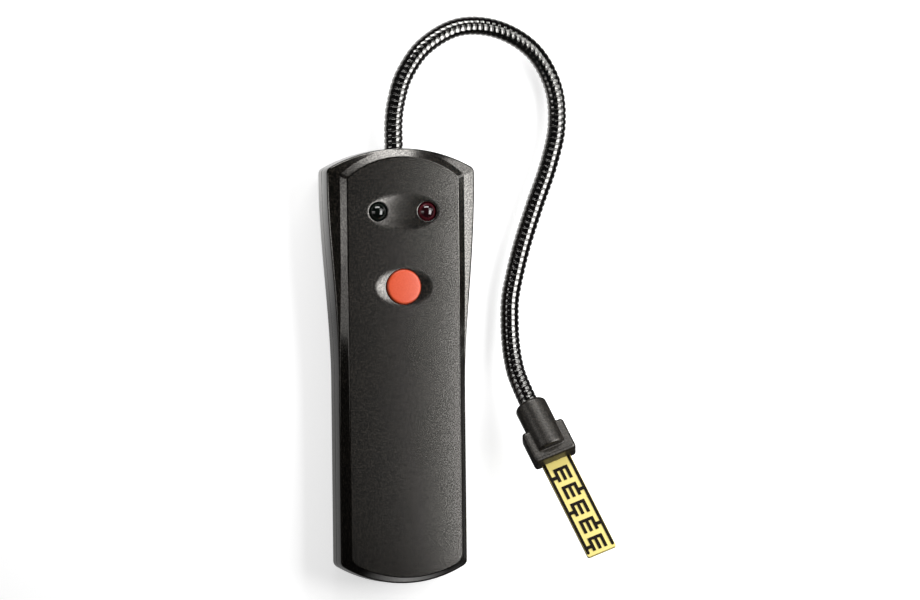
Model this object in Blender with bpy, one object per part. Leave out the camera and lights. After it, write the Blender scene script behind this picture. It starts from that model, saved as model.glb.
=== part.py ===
"""Flue backdraft detector: a hand-held housing with a gooseneck probe and a sensor strip.

The unit lies on its back. X runs across it, Y towards the gooseneck and Z out of its face.
The origin is the middle of the flat back. Sizes are in millimetres until a mesh is made.
"""
import math

import bmesh
import bpy
from mathutils import Matrix, Vector

MM = 0.001
GAP = 0.3                       # clearance between two pieces that touch or fit
OVERLAP = 0.4                   # how far a boss or rib is sunk into the wall that carries it

# Walls and the block battery that the housing is built round
WALL = 2.0
FLOOR = 2.2
CEILING = 2.4
BATTERY_WIDTH = 26.5
BATTERY_LENGTH = 46.4
BATTERY_THICKNESS = 17.5
PAD_THICKNESS = 1.0
PAD_SIDE_MARGIN = 2.0
PAD_END_MARGIN = 4.0
BATTERY_ROUND = 2.0
BATTERY_TO_END = 1.8            # beyond the rounding of the back at the bottom end
TERMINAL_RADII = (2.9, 3.6)
TERMINAL_HEIGHT = 2.1
SNAP_THICKNESS = 4.3
SNAP_MARGIN = 3.0
SNAP_SIDE_MARGIN = 0.4
BATTERY_RIB_THICKNESS = 1.2
BATTERY_RIB_CLEARANCE = 0.8
BATTERY_RIB_MARGIN = 2.0
BATTERY_RIB_FROM_FLOOR = 2.8

# Battery cover and the screws beside it
COVER_MARGIN = 2.25             # cover beyond the battery on each side
COVER_RECESS = 0.3              # the unit rests on the back shell, and the cover lies this much deeper
TONGUE_REACH = 1.1              # how far the cover's tongues pass under the back's edge
TONGUE_THICKNESS = 1.2
TONGUE_LENGTH = 24.0
TONGUE_FROM_END = 14.0
TONGUE_ROOT = 1.4
ROOT_SETBACK = 0.2
CATCH_HALF_WIDTH = 5.0
CATCH_ROOT = 1.6
COVER_TRAVEL = 7.0              # the cover slides this far before it lifts off
GRIP_GROOVES = 5
GRIP_GROOVE_PITCH = 2.2
GRIP_GROOVE_WIDTH = 1.1
GRIP_GROOVE_DEPTH = 0.5
GRIP_GROOVE_HALF_LENGTH = 7.0
GRIP_FROM_END = 6.0
PARTITION_THICKNESS = 1.5
PARTITION_BEYOND_COVER = 3.5
PARTITION_DROP = 3.0
SCREW_BOSS_RADIUS = 4.2
SCREW_TO_EDGE = 5.8

# Outline of the housing seen from the front
HOUSING_LENGTH = 181.0
FLARE = 4.6                     # each side is this much wider at the top end
FLARE_START = -6.0
FLARE_END = 78.0
TOP_ARC_RADIUS = 64.0
BOTTOM_ARC_RADIUS = 51.0
OUTLINE_CORNER = 1.6
CORNER_TO_STATION = 9.0        # from the side's last station to its top corner
PARTING_HEIGHT = 12.2
LIP_HEIGHT = 1.2
LIP_THICKNESS = 0.9
EDGE_ROUND = 0.8
LEDGE_MINIMUM = 0.5
LEDGE_SLOPE = 0.34
BACK_ROUND_WIDTH = 5.2
BACK_ROUND_HEIGHT = 8.0

# Raised face and its bevel
BEVEL_WIDTH = 2.8
FACE_EDGE_INSET = 0.35          # the face's softened edge reaches this far in
FACE_EDGE_SHARE = 0.1           # and over this share of the bevel's width
FACE_EDGE_DROP = 0.13           # and of its depth
CEILING_INSET = 0.8
BEVEL_WIDTH_TOP = 3.0
BEVEL_WIDTH_BOTTOM = 2.0
BEVEL_DEPTH_TOP = 1.45
BEVEL_DEPTH_GRIP = 4.5
BEVEL_SHALLOW_ABOVE = 45.0
BEVEL_DEEP_BELOW = -17.0
FOOT_TOP_RADIUS = 39.5
FACE_TOP_RADIUS = 37.5
FACE_BOTTOM_RADIUS = 46.0
FACE_TOP_CORNER = 0.8
FACE_BOTTOM_CORNER = 2.6

# Lamps and button in their dishes, measured down from the top end
LAMP_FROM_TOP = 26.3
LAMP_SPACING = 21.2
LAMP_RADIUS = 3.75
LAMP_RISE = 1.3
LAMP_FLANGE = 0.8
LAMP_BASE_THICKNESS = 1.2
LAMP_DOME_BELOW_FACE = 0.6
LAMP_DISH_LENGTH = 30.0
LAMP_DISH_WIDTH = 14.4
BUTTON_FROM_TOP = 57.6
BUTTON_RADIUS = 7.15
BUTTON_RISE = 1.0
BUTTON_TRAVEL = 1.0
BUTTON_FLANGE = 1.5
BUTTON_FLANGE_THICKNESS = 1.1
BUTTON_DISH_LENGTH = 24.4
BUTTON_DISH_WIDTH = 14.6
DISH_DEPTH = 1.4
DISH_FLATNESS = 3.6             # height of the dish ellipsoid's centre above the face

# Circuit board and what it carries
BOARD_BELOW_CEILING = 6.0
BOARD_THICKNESS = 1.6
BOARD_WIDTH = 38.0
BOARD_FROM_TOP = 17.5
BOARD_BEYOND_PARTITION = 3.0
POST_RADIUS = 2.6
POST_INSET = 3.5
POST_FROM_LOW_EDGE = 7.0
POST_FROM_HIGH_EDGE = 27.0
SWITCH_SIZE = 12.0
SWITCH_HEIGHT = 2.8
PLUNGER_RADIUS = 3.4
CHIP_LENGTH = 9.8
CHIP_WIDTH = 6.4
CHIP_HEIGHT = 3.3
CHIP_FROM_LOW_EDGE = 7.0
LEG_PITCH = 2.54
LEG_WIDTH = 0.6
RESISTOR_RADIUS = 1.15
RESISTOR_LENGTH = 6.3
RESISTOR_OFFSET = 10.0
RESISTOR_PITCH = 9.0
CAPACITOR_RADIUS = 2.5
CAPACITOR_HEIGHT = 5.0
CAPACITOR_TO_BUTTON = 1.0
LEAD_WIRE_RADIUS = 0.8
LEAD_WIRE_OFFSET = 4.0

# Screws
SCREW_RADIUS = 1.3
SCREW_HEAD_RADIUS = 2.6
SCREW_HEAD_HEIGHT = 1.9
SCREW_RECESS = 1.2
SCREW_LENGTH = 15.5
FRONT_BOSS_RADIUS = 3.2
SCREW_FROM_BOTTOM = 16.5
SCREW_FROM_TOP = 23.5
SCREW_TOP_INWARD = 7.8
BOARD_SCREW_RADIUS = 1.1
BOARD_SCREW_HEAD_RADIUS = 2.2
BOARD_SCREW_HEAD_HEIGHT = 1.3
BOARD_SCREW_LENGTH = 4.5

# Gooseneck: an inner spring with a shaped wire wound over it
NECK_HEIGHT = 10.0
NECK_RADIUS = 4.0
NECK_PITCH = 2.5
NECK_WIRE_WIDTH = 1.95
NECK_WIRE_CROWN = 0.68          # share of the wire's width that is left at its crown
NECK_WIRE_DEPTH = 0.75
NECK_STEPS_PER_TURN = 7
SPRING_SIDES = 6
SPRING_RING_SPACING = 6.5
SPRING_BORE_RADIUS = 1.7
CABLE_RADIUS = 1.2
CABLE_SIDES = 5
FERRULE_LENGTH = 11.5
FERRULE_WALL = 2.45
COLLAR_RADIUS = 7.0
COLLAR_LENGTH = 4.0
COLLAR_FROM_START = 2.5
FERRULE_TO_WALL = 2.5
SADDLE_THICKNESS = 1.7
SADDLE_HALF_WIDTH = 9.0
PLUG_LENGTH = 6.0
PLUG_WIDTH = 7.6
PLUG_HEIGHT = 6.0
PLUG_TO_FERRULE = 8.2

# The gooseneck's bend, as offsets from where it leaves the top end
NECK_ROUTE = [
    (0.0, 0.0, 0.0),
    (0.0, 10.5, 0.0),
    (1.2, 19.5, 0.0),
    (4.9, 30.9, 0.0),
    (13.8, 42.8, 0.0),
    (28.5, 50.7, 0.0),
    (45.5, 49.8, 0.0),
    (60.6, 41.0, 0.0),
    (69.4, 26.0, 0.0),
    (70.9, 9.3, 0.0),
    (67.0, -7.5, 0.0),
    (60.8, -24.2, 0.0),
    (55.1, -40.9, 0.0),
    (51.3, -55.3, 0.0),
    (49.7, -64.0, 0.0),
    (49.3, -72.3, 0.5),
    (49.2, -80.5, 1.8),
    (49.6, -88.7, 4.0),
    (50.7, -96.2, 7.1),
]
PROBE_START = (54.2, -107.5, 12.5)

# Probe moulding, measured along its own axis from its rounded end
PROBE_HEADING = -71.6
PROBE_PITCH = 30.9
PROBE_ROLL = 5.7
PROBE_RADIUS = 6.65
PROBE_LENGTH = 22.7
PROBE_END_ROUND = 1.5
PROBE_NECK_DEPTH = 12.0
BLOCK_START = 12.1
BLOCK_LENGTH = 14.8
BLOCK_WIDTH = 18.0
BLOCK_TOP = 3.35                # above the probe's axis
BLOCK_BOTTOM = -5.3
BLOCK_ROUND = 1.4
PROBE_FERRULE_LENGTH = 7.0

# Sensor strip and its printed conductors
STRIP_LENGTH = 45.9             # what shows beyond the moulding
STRIP_INSERT = 3.5
STRIP_WIDTH = 12.8
STRIP_THICKNESS = 1.6
STRIP_TOP = -3.0                # below the probe's axis
TRACK_THICKNESS = 0.2
TRACK_CLEARANCE = 0.1
RAIL_WIDTH = 1.2
RAIL_FROM_EDGE = 0.25
RAIL_END_MARGIN = 1.1
COMB_COUNT = 5
COMB_START = 3.4
COMB_PITCH = 8.66
COMB_LENGTH = 6.25
COMB_WIDTH = 6.4
TINE_COUNT = 3
TINE_WIDTH = 1.3
STUB_FROM_SPINE = 3.2
STUB_WIDTH = 1.5

# How finely the outline is drawn
ARC_STEPS = 4
SIDE_STATIONS = 8

# Sizes that follow from the ones above
COVER_HALF_WIDTH = BATTERY_WIDTH / 2 + COVER_MARGIN
SCREW_X = COVER_HALF_WIDTH + GAP + TONGUE_REACH + GAP + SCREW_BOSS_RADIUS
GRIP_HALF_WIDTH = SCREW_X + SCREW_TO_EDGE
THICKNESS = FLOOR + GAP + BATTERY_THICKNESS + GAP + PAD_THICKNESS + GAP + CEILING
TOP_END = HOUSING_LENGTH / 2
BOTTOM_END = -HOUSING_LENGTH / 2
CEILING_HEIGHT = THICKNESS - CEILING
BATTERY_LOW_END = BOTTOM_END + WALL + BACK_ROUND_WIDTH + BATTERY_TO_END
BATTERY_HIGH_END = BATTERY_LOW_END + BATTERY_LENGTH
SNAP_HIGH_END = BATTERY_HIGH_END + GAP + SNAP_THICKNESS
COVER_HIGH_END = max(SNAP_HIGH_END, BATTERY_HIGH_END + COVER_TRAVEL) + CATCH_ROOT + GAP
PARTITION_LOW = COVER_HIGH_END + PARTITION_BEYOND_COVER
BOARD_TOP = CEILING_HEIGHT - BOARD_BELOW_CEILING
BOARD_BOTTOM = BOARD_TOP - BOARD_THICKNESS
BOARD_HIGH_EDGE = TOP_END - BOARD_FROM_TOP
BOARD_LOW_EDGE = PARTITION_LOW + PARTITION_THICKNESS + BOARD_BEYOND_PARTITION
LAMP_Y = TOP_END - LAMP_FROM_TOP
BUTTON_Y = TOP_END - BUTTON_FROM_TOP
SPRING_CLEARANCE = 0.25
SPRING_RADIUS = (NECK_RADIUS - NECK_WIRE_DEPTH) * math.cos(math.pi / NECK_STEPS_PER_TURN) - SPRING_CLEARANCE
FERRULE_BORE = SPRING_RADIUS + GAP
FERRULE_RADIUS = FERRULE_BORE + FERRULE_WALL
FERRULE_START = TOP_END - WALL - FERRULE_TO_WALL - FERRULE_LENGTH
FERRULE_END = FERRULE_START + FERRULE_LENGTH
NECK_HOLE_RADIUS = NECK_RADIUS + GAP + 0.05
POST_X = BOARD_WIDTH / 2 - POST_INSET
POST_LOW_Y = BOARD_LOW_EDGE + POST_FROM_LOW_EDGE
POST_HIGH_Y = BOARD_HIGH_EDGE - POST_FROM_HIGH_EDGE


def clear_scene():
    for thing in list(bpy.data.objects):
        bpy.data.objects.remove(thing, do_unlink=True)


def make_material(name, colour, roughness, metallic=0.0):
    material = bpy.data.materials.new(name)
    material.use_nodes = True
    shader = material.node_tree.nodes["Principled BSDF"]
    shader.inputs["Base Color"].default_value = (*colour, 1.0)
    shader.inputs["Roughness"].default_value = roughness
    shader.inputs["Metallic"].default_value = metallic
    return material


def add_solid(name, points, faces, material=None, parent=None):
    """One closed mesh object from points in millimetres, with its faces turned outwards"""
    mesh = bpy.data.meshes.new(name)
    mesh.from_pydata([Vector(point) * MM for point in points], [], faces)
    work = bmesh.new()
    work.from_mesh(mesh)
    bmesh.ops.recalc_face_normals(work, faces=work.faces)
    work.to_mesh(mesh)
    work.free()
    solid = bpy.data.objects.new(name, mesh)
    bpy.context.scene.collection.objects.link(solid)
    if material:
        mesh.materials.append(material)
    if parent:
        solid.parent = parent
    return solid


def combine(target, tool, operation):
    """Cut, join or keep the overlap of two solids, and drop the tool"""
    bpy.context.view_layer.update()
    modifier = target.modifiers.new("combine", "BOOLEAN")
    modifier.operation = operation
    modifier.solver = "EXACT"
    modifier.object = tool
    shaped = target.evaluated_get(bpy.context.evaluated_depsgraph_get())
    mesh = bpy.data.meshes.new_from_object(shaped)
    target.modifiers.clear()
    target.data = mesh
    bpy.data.objects.remove(tool, do_unlink=True)


def cut(target, tool):
    combine(target, tool, "DIFFERENCE")


def join(target, tool):
    combine(target, tool, "UNION")


def shade_smooth(solid, angle=35.0):
    solid.data.shade_smooth()
    solid.data.set_sharp_from_angle(angle=math.radians(angle))


def loft(loops):
    """Skin over loops that all have the same count of points, closed by a face at each end"""
    count = len(loops[0])
    points = [point for loop in loops for point in loop]
    faces = [tuple(reversed(range(count)))]
    for row in range(len(loops) - 1):
        for i in range(count):
            j = (i + 1) % count
            low = row * count
            faces.append((low + i, low + j, low + count + j, low + count + i))
    top = (len(loops) - 1) * count
    faces.append(tuple(range(top, top + count)))
    return points, faces


def add_box(name, low, high, material=None, parent=None):
    corners = [(low[0], low[1]), (high[0], low[1]), (high[0], high[1]), (low[0], high[1])]
    return add_plate(name, corners, low[2], high[2], material, parent)


def add_plate(name, outline, bottom, top, material=None, parent=None):
    loops = [[(x, y, z) for x, y in outline] for z in (bottom, top)]
    return add_solid(name, *loft(loops), material, parent)


def add_turned(name, profile, sides, place=None, material=None, parent=None, bored=False):
    """Solid of revolution about its local Z from (radius, height) pairs, placed by a matrix"""
    rings = []
    points = []
    for radius, height in profile:
        if radius == 0:
            rings.append([len(points)])
            points.append(Vector((0, 0, height)))
            continue
        rings.append(list(range(len(points), len(points) + sides)))
        for i in range(sides):
            turn = 2 * math.pi * i / sides
            points.append(Vector((radius * math.cos(turn), radius * math.sin(turn), height)))
    if bored:
        rings.append(rings[0])
    faces = []
    for lower, upper in zip(rings, rings[1:]):
        for i in range(sides):
            j = (i + 1) % sides
            corners = [lower[i % len(lower)], lower[j % len(lower)],
                       upper[j % len(upper)], upper[i % len(upper)]]
            faces.append(tuple(dict.fromkeys(corners)))
    place = place or Matrix.Identity(4)
    return add_solid(name, [place @ point for point in points], faces, material, parent)


def add_cylinder(name, radius, low, high, sides, place=None, material=None, parent=None):
    profile = [(0, low), (radius, low), (radius, high), (0, high)]
    return add_turned(name, profile, sides, place, material, parent)


def standing_at(x, y, z=0.0):
    return Matrix.Translation((x, y, z))


def lying_along_y(x, z):
    """Turns a solid's local Z to point along the housing, at the given place across it"""
    return Matrix.Translation((x, 0, z)) @ Matrix.Rotation(math.radians(-90), 4, "X")


def bevel_edges(solid, width, segments, chosen=None):
    work = bmesh.new()
    work.from_mesh(solid.data)
    edges = [edge for edge in work.edges if chosen is None or chosen(edge)]
    bmesh.ops.bevel(work, geom=edges, offset=width * MM, segments=segments, affect="EDGES", profile=0.5)
    work.to_mesh(solid.data)
    work.free()


def ease(t):
    t = min(1.0, max(0.0, t))
    return t * t * (3 - 2 * t)


def arc_drop(radius, x):
    return radius - math.sqrt(radius * radius - x * x)


def outline_half_width(y):
    return GRIP_HALF_WIDTH + FLARE * ease((y - FLARE_START) / (FLARE_END - FLARE_START))


def bevel_depth(y):
    share = ease((BEVEL_SHALLOW_ABOVE - y) / (BEVEL_SHALLOW_ABOVE - BEVEL_DEEP_BELOW))
    return BEVEL_DEPTH_TOP + (BEVEL_DEPTH_GRIP - BEVEL_DEPTH_TOP) * share


def end_points(corner_x, end, radius, setback, upward):
    """Half of an end arc from the middle out, then its rounded corner"""
    points = []
    for step in range(ARC_STEPS + 1):
        x = (corner_x - setback) * step / ARC_STEPS
        points.append((x, end - upward * arc_drop(radius, x)))
    corner_y = end - upward * arc_drop(radius, corner_x)
    side = (corner_x, corner_y - upward * setback)
    middle_x = (points[-1][0] + side[0] + 2 * corner_x) / 4
    middle_y = (points[-1][1] + side[1] + 2 * corner_y) / 4
    return points + [(middle_x, middle_y), side]


def plan_loop(half_width, top, top_radius, bottom, bottom_radius, top_corner, bottom_corner):
    """Outline in plan, anticlockwise from the bottom's middle, with a fixed count of points"""
    low = end_points(half_width(bottom), bottom, bottom_radius, bottom_corner, -1)
    high = end_points(half_width(top), top, top_radius, top_corner, 1)
    last = TOP_END - arc_drop(TOP_ARC_RADIUS, GRIP_HALF_WIDTH) - CORNER_TO_STATION
    side = []
    for step in range(SIDE_STATIONS):
        y = BEVEL_DEEP_BELOW + (last - BEVEL_DEEP_BELOW) * step / (SIDE_STATIONS - 1)
        side.append((half_width(y), y))
    right = low + side + list(reversed(high))
    left = [(-x, y) for x, y in reversed(right[1:-1])]
    return right + left


def outline_loop(inset):
    """The housing's outline, moved inwards by the given distance"""
    corner = max(OUTLINE_CORNER - inset / 2, 0.6)
    return plan_loop(lambda y: outline_half_width(y) - inset, TOP_END - inset, TOP_ARC_RADIUS - inset,
                     BOTTOM_END + inset, BOTTOM_ARC_RADIUS - inset, corner, corner)


def foot_loop():
    """Where the bevel round the raised face meets the ledge"""
    return plan_loop(lambda y: GRIP_HALF_WIDTH - LEDGE_MINIMUM, TOP_END - LEDGE_MINIMUM, FOOT_TOP_RADIUS,
                     BOTTOM_END + LEDGE_MINIMUM, BOTTOM_ARC_RADIUS, FACE_TOP_CORNER, OUTLINE_CORNER)


def face_loop(inset):
    half_width = GRIP_HALF_WIDTH - LEDGE_MINIMUM - BEVEL_WIDTH - inset
    return plan_loop(lambda y: half_width, TOP_END - LEDGE_MINIMUM - BEVEL_WIDTH_TOP - inset,
                     FACE_TOP_RADIUS - inset, BOTTOM_END + LEDGE_MINIMUM + BEVEL_WIDTH_BOTTOM + inset,
                     FACE_BOTTOM_RADIUS - inset, FACE_TOP_CORNER, FACE_BOTTOM_CORNER)


def at_height(loop, height):
    return [(x, y, height) for x, y in loop]


def front_shell_loops():
    """Loops from the inside of the face down the cavity, round the rim and up the outside"""
    outline = outline_loop(0)
    foot = foot_loop()
    face = face_loop(0)
    foot_heights = [THICKNESS - bevel_depth(y) for x, y in foot]
    round_start = []
    round_middle = []
    round_end = []
    for (x, y), (foot_x, foot_y), foot_height in zip(outline, foot, foot_heights):
        ledge = math.hypot(foot_x - x, foot_y - y)
        width = min(EDGE_ROUND, 0.6 * ledge)
        edge = foot_height - LEDGE_SLOPE * ledge
        across = ((foot_x - x) / ledge, (foot_y - y) / ledge)
        round_start.append((x, y, edge - EDGE_ROUND))
        inward = width * 0.3
        round_middle.append((x + across[0] * inward, y + across[1] * inward, edge - EDGE_ROUND * 0.3))
        round_end.append((x + across[0] * width, y + across[1] * width, edge + LEDGE_SLOPE * width))
    bevel_foot = [(x, y, z) for (x, y), z in zip(foot, foot_heights)]
    bevel_top = []
    for (x, y), (foot_x, foot_y), foot_height in zip(face, foot, foot_heights):
        bevel_top.append((x + (foot_x - x) * FACE_EDGE_SHARE, y + (foot_y - y) * FACE_EDGE_SHARE,
                          THICKNESS + (foot_height - THICKNESS) * FACE_EDGE_DROP))
    rim = PARTING_HEIGHT + GAP / 2
    rebate = outline_loop(LIP_THICKNESS)
    cavity = outline_loop(WALL)
    shoulder = [(x, y, THICKNESS - bevel_depth(y) - CEILING) for x, y in cavity]
    return [
        at_height(face_loop(CEILING_INSET), CEILING_HEIGHT),
        shoulder,
        at_height(cavity, rim + LIP_HEIGHT + GAP),
        at_height(rebate, rim + LIP_HEIGHT + GAP),
        at_height(rebate, rim),
        at_height(outline, rim),
        round_start,
        round_middle,
        round_end,
        bevel_foot,
        bevel_top,
        at_height(face_loop(FACE_EDGE_INSET), THICKNESS),
    ]


def back_shell_loops():
    """Loops from the inside of the back up to the lip and down the rounded outside"""
    rim = PARTING_HEIGHT - GAP / 2
    lip = outline_loop(LIP_THICKNESS + GAP)
    cavity = outline_loop(WALL)
    outside = []
    steps = 3
    for step in range(steps + 1):
        turn = math.pi / 2 * step / steps
        inset = BACK_ROUND_WIDTH * (1 - math.cos(turn))
        outside.append(at_height(outline_loop(inset), BACK_ROUND_HEIGHT * (1 - math.sin(turn))))
    return [
        at_height(outline_loop(BACK_ROUND_WIDTH + 0.4), FLOOR),
        at_height(outline_loop(WALL + BACK_ROUND_WIDTH * 0.3), FLOOR + BACK_ROUND_HEIGHT * 0.2),
        at_height(cavity, FLOOR + BACK_ROUND_HEIGHT * 0.75),
        at_height(cavity, rim + LIP_HEIGHT),
        at_height(lip, rim + LIP_HEIGHT),
        at_height(lip, rim),
        at_height(outline_loop(0), rim),
        *outside,
    ]


def add_dish(x, y, length, width):
    """Cutter with the bottom of an ellipsoid, for a shallow oval dish in the face"""
    depth = DISH_FLATNESS + DISH_DEPTH
    widening = math.sqrt(1 - (DISH_FLATNESS / depth) ** 2)
    steps = 3
    sides = 24
    profile = [(0, -depth)]
    last = math.acos(DISH_FLATNESS / depth)
    for step in range(1, steps + 1):
        turn = last * step / steps
        profile.append((math.sin(turn) / widening, -depth * math.cos(turn)))
    profile.append((1.12, -DISH_FLATNESS + 1.2))
    profile.append((0, -DISH_FLATNESS + 1.2))
    stretch = Matrix.Diagonal((length / 2, width / 2, 1, 1))
    place = Matrix.Translation((x, y, THICKNESS + DISH_FLATNESS)) @ stretch
    return add_turned("dish", profile, sides, place)


def screw_places():
    low_y = BOTTOM_END + SCREW_FROM_BOTTOM
    high_y = TOP_END - SCREW_FROM_TOP
    high_x = outline_half_width(high_y) - SCREW_TOP_INWARD
    return [(side * x, y) for side in (-1, 1) for x, y in ((SCREW_X, low_y), (high_x, high_y))]


def board_screw_places():
    return [(side * POST_X, y) for side in (-1, 1) for y in (POST_LOW_Y, POST_HIGH_Y)]


def saddle_ribs(low, high):
    """Two cross ribs that trap the gooseneck's collar, between the given heights"""
    collar_start = FERRULE_START + COLLAR_FROM_START
    collar_end = collar_start + COLLAR_LENGTH
    ribs = []
    for start in (collar_start - GAP - SADDLE_THICKNESS, collar_end + GAP):
        ribs.append(add_box("rib", (-SADDLE_HALF_WIDTH, start, low),
                            (SADDLE_HALF_WIDTH, start + SADDLE_THICKNESS, high)))
    return ribs


def cut_neck_passage(shell):
    """Opens the saddle ribs for the ferrule and the end wall for the gooseneck"""
    lying = lying_along_y(0, NECK_HEIGHT)
    cut(shell, add_cylinder("cutter", FERRULE_RADIUS + GAP, FERRULE_START - 2, FERRULE_END + GAP, 16, lying))
    cut(shell, add_cylinder("cutter", NECK_HOLE_RADIUS, FERRULE_END - 1, TOP_END + 2, 16, lying))


def make_front_shell(material):
    shell = add_solid("front_shell", *loft(front_shell_loops()), material)
    cut(shell, add_dish(0, LAMP_Y, LAMP_DISH_LENGTH, LAMP_DISH_WIDTH))
    cut(shell, add_dish(0, BUTTON_Y, BUTTON_DISH_LENGTH, BUTTON_DISH_WIDTH))
    for side in (-1, 1):
        lamp = standing_at(side * LAMP_SPACING / 2, LAMP_Y)
        cut(shell, add_cylinder("cutter", LAMP_RADIUS + GAP, CEILING_HEIGHT - 2, THICKNESS + 2, 16, lamp))
    button = standing_at(0, BUTTON_Y)
    cut(shell, add_cylinder("cutter", BUTTON_RADIUS + GAP, CEILING_HEIGHT - 2, THICKNESS + 2, 24, button))
    roof = CEILING_HEIGHT + OVERLAP
    for x, y in screw_places():
        boss = add_cylinder("boss", FRONT_BOSS_RADIUS, PARTING_HEIGHT + GAP, roof, 10, standing_at(x, y))
        join(shell, boss)
        hole = add_cylinder("cutter", SCREW_RADIUS + GAP, PARTING_HEIGHT - 1, CEILING_HEIGHT - 1, 8,
                            standing_at(x, y))
        cut(shell, hole)
    for x, y in board_screw_places():
        join(shell, add_cylinder("post", POST_RADIUS, BOARD_TOP + GAP, roof, 8, standing_at(x, y)))
        hole = add_cylinder("cutter", BOARD_SCREW_RADIUS + GAP, BOARD_TOP - 1, CEILING_HEIGHT - 1, 8,
                            standing_at(x, y))
        cut(shell, hole)
    rib_inner = BATTERY_WIDTH / 2 + BATTERY_RIB_CLEARANCE
    for side in (-1, 1):
        edges = sorted((side * rib_inner, side * (rib_inner + BATTERY_RIB_THICKNESS)))
        low = (edges[0], BATTERY_LOW_END + BATTERY_RIB_MARGIN, FLOOR + BATTERY_RIB_FROM_FLOOR)
        high = (edges[1], BATTERY_HIGH_END - BATTERY_RIB_MARGIN, roof)
        join(shell, add_box("rib", low, high))
    for rib in saddle_ribs(PARTING_HEIGHT + GAP, roof):
        join(shell, rib)
    cut_neck_passage(shell)
    shade_smooth(shell, 22)
    return shell


def cover_box(margin):
    """The region of the back that the battery cover fills, grown by a margin"""
    half = COVER_HALF_WIDTH + margin
    low = (-half, BOTTOM_END - 10, -5)
    high = (half, COVER_HIGH_END + margin, BACK_ROUND_HEIGHT + 1 + margin)
    return add_box("region", low, high)


def make_back_shell(material):
    shell = add_solid("back_shell", *loft(back_shell_loops()), material)
    cut(shell, cover_box(GAP))
    low = FLOOR - OVERLAP
    for x, y in screw_places():
        boss = add_cylinder("boss", SCREW_BOSS_RADIUS, low, PARTING_HEIGHT - GAP, 12, standing_at(x, y))
        join(shell, boss)
        seat = SCREW_RECESS + SCREW_HEAD_HEIGHT + GAP
        head = add_cylinder("cutter", SCREW_HEAD_RADIUS + GAP, -1, seat, 12, standing_at(x, y))
        shank = add_cylinder("cutter", SCREW_RADIUS + GAP, seat - 1, PARTING_HEIGHT + 1, 8,
                             standing_at(x, y))
        cut(shell, head)
        cut(shell, shank)
    half = COVER_HALF_WIDTH + TONGUE_REACH + 1
    partition = add_box("partition", (-half, PARTITION_LOW, low),
                        (half, PARTITION_LOW + PARTITION_THICKNESS, PARTING_HEIGHT - PARTITION_DROP))
    join(shell, partition)
    for rib in saddle_ribs(low, PARTING_HEIGHT - GAP):
        join(shell, rib)
    cut_neck_passage(shell)
    shade_smooth(shell, 22)
    return shell


def make_battery_cover(material):
    """Sliding door: a piece of the back itself, with tongues that pass under the back's edge"""
    loops = back_shell_loops()
    loops[-1] = [(x, y, COVER_RECESS) for x, y, z in loops[-1]]
    cover = add_solid("battery_cover", *loft(loops), material)
    combine(cover, cover_box(0), "INTERSECT")
    tongue_low = FLOOR + GAP
    tongue_high = tongue_low + TONGUE_THICKNESS
    reach = COVER_HALF_WIDTH + GAP + TONGUE_REACH
    root = COVER_HALF_WIDTH - TONGUE_ROOT
    root_edge = COVER_HALF_WIDTH - ROOT_SETBACK
    root_low = FLOOR - OVERLAP
    end = COVER_HIGH_END - TONGUE_FROM_END
    start = end - TONGUE_LENGTH
    for side in (-1, 1):
        across = sorted((side * root, side * reach))
        join(cover, add_box("tongue", (across[0], start, tongue_low), (across[1], end, tongue_high)))
        across = sorted((side * root, side * root_edge))
        join(cover, add_box("root", (across[0], start, root_low), (across[1], end, tongue_high)))
    catch_end = COVER_HIGH_END + GAP + TONGUE_REACH
    half = CATCH_HALF_WIDTH
    catch_start = COVER_HIGH_END - CATCH_ROOT
    join(cover, add_box("catch", (-half, catch_start, tongue_low), (half, catch_end, tongue_high)))
    join(cover, add_box("root", (-half, catch_start, root_low),
                        (half, COVER_HIGH_END - ROOT_SETBACK, tongue_high)))
    half = GRIP_GROOVE_HALF_LENGTH
    for step in range(GRIP_GROOVES):
        y = COVER_HIGH_END - GRIP_FROM_END - GRIP_GROOVE_PITCH * step
        cut(cover, add_box("groove", (-half, y - GRIP_GROOVE_WIDTH, -1),
                           (half, y, COVER_RECESS + GRIP_GROOVE_DEPTH)))
    shade_smooth(cover, 22)
    return cover


def make_button_cap(material):
    """Round push button with a softly rounded rim and a flange that keeps it in the face"""
    top = THICKNESS + BUTTON_RISE
    flange_top = CEILING_HEIGHT - GAP
    radius = BUTTON_RADIUS
    profile = [
        (0, flange_top - BUTTON_FLANGE_THICKNESS),
        (radius + BUTTON_FLANGE, flange_top - BUTTON_FLANGE_THICKNESS),
        (radius + BUTTON_FLANGE, flange_top),
        (radius, flange_top),
        (radius, top - 0.9),
        (radius - 0.25, top - 0.3),
        (radius - 0.9, top - 0.06),
        (0, top),
    ]
    cap = add_turned("button_cap", profile, 24, None, material)
    cap.location = Vector((0, BUTTON_Y, 0)) * MM
    shade_smooth(cap)
    return cap


def make_switch(body_material, plunger_material):
    low = BOARD_TOP + GAP
    high = low + SWITCH_HEIGHT
    half = SWITCH_SIZE / 2
    body = add_box("tact_switch_body", (-half, BUTTON_Y - half, low), (half, BUTTON_Y + half, high),
                   body_material)
    bevel_edges(body, 0.5, 1)
    centre = standing_at(0, BUTTON_Y)
    plunger_top = CEILING_HEIGHT - GAP - BUTTON_FLANGE_THICKNESS - GAP
    plunger_low = low + GAP + 0.2 + BUTTON_TRAVEL
    cut(body, add_cylinder("cutter", PLUNGER_RADIUS + GAP, low + GAP, high + 1, 16, centre))
    profile = [(0, plunger_low), (PLUNGER_RADIUS, plunger_low), (PLUNGER_RADIUS, plunger_top - 0.3),
               (PLUNGER_RADIUS - 0.4, plunger_top), (0, plunger_top)]
    plunger = add_turned("tact_switch_plunger", profile, 16, None, plunger_material)
    plunger.location = Vector((0, BUTTON_Y, 0)) * MM
    return body, plunger


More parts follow.
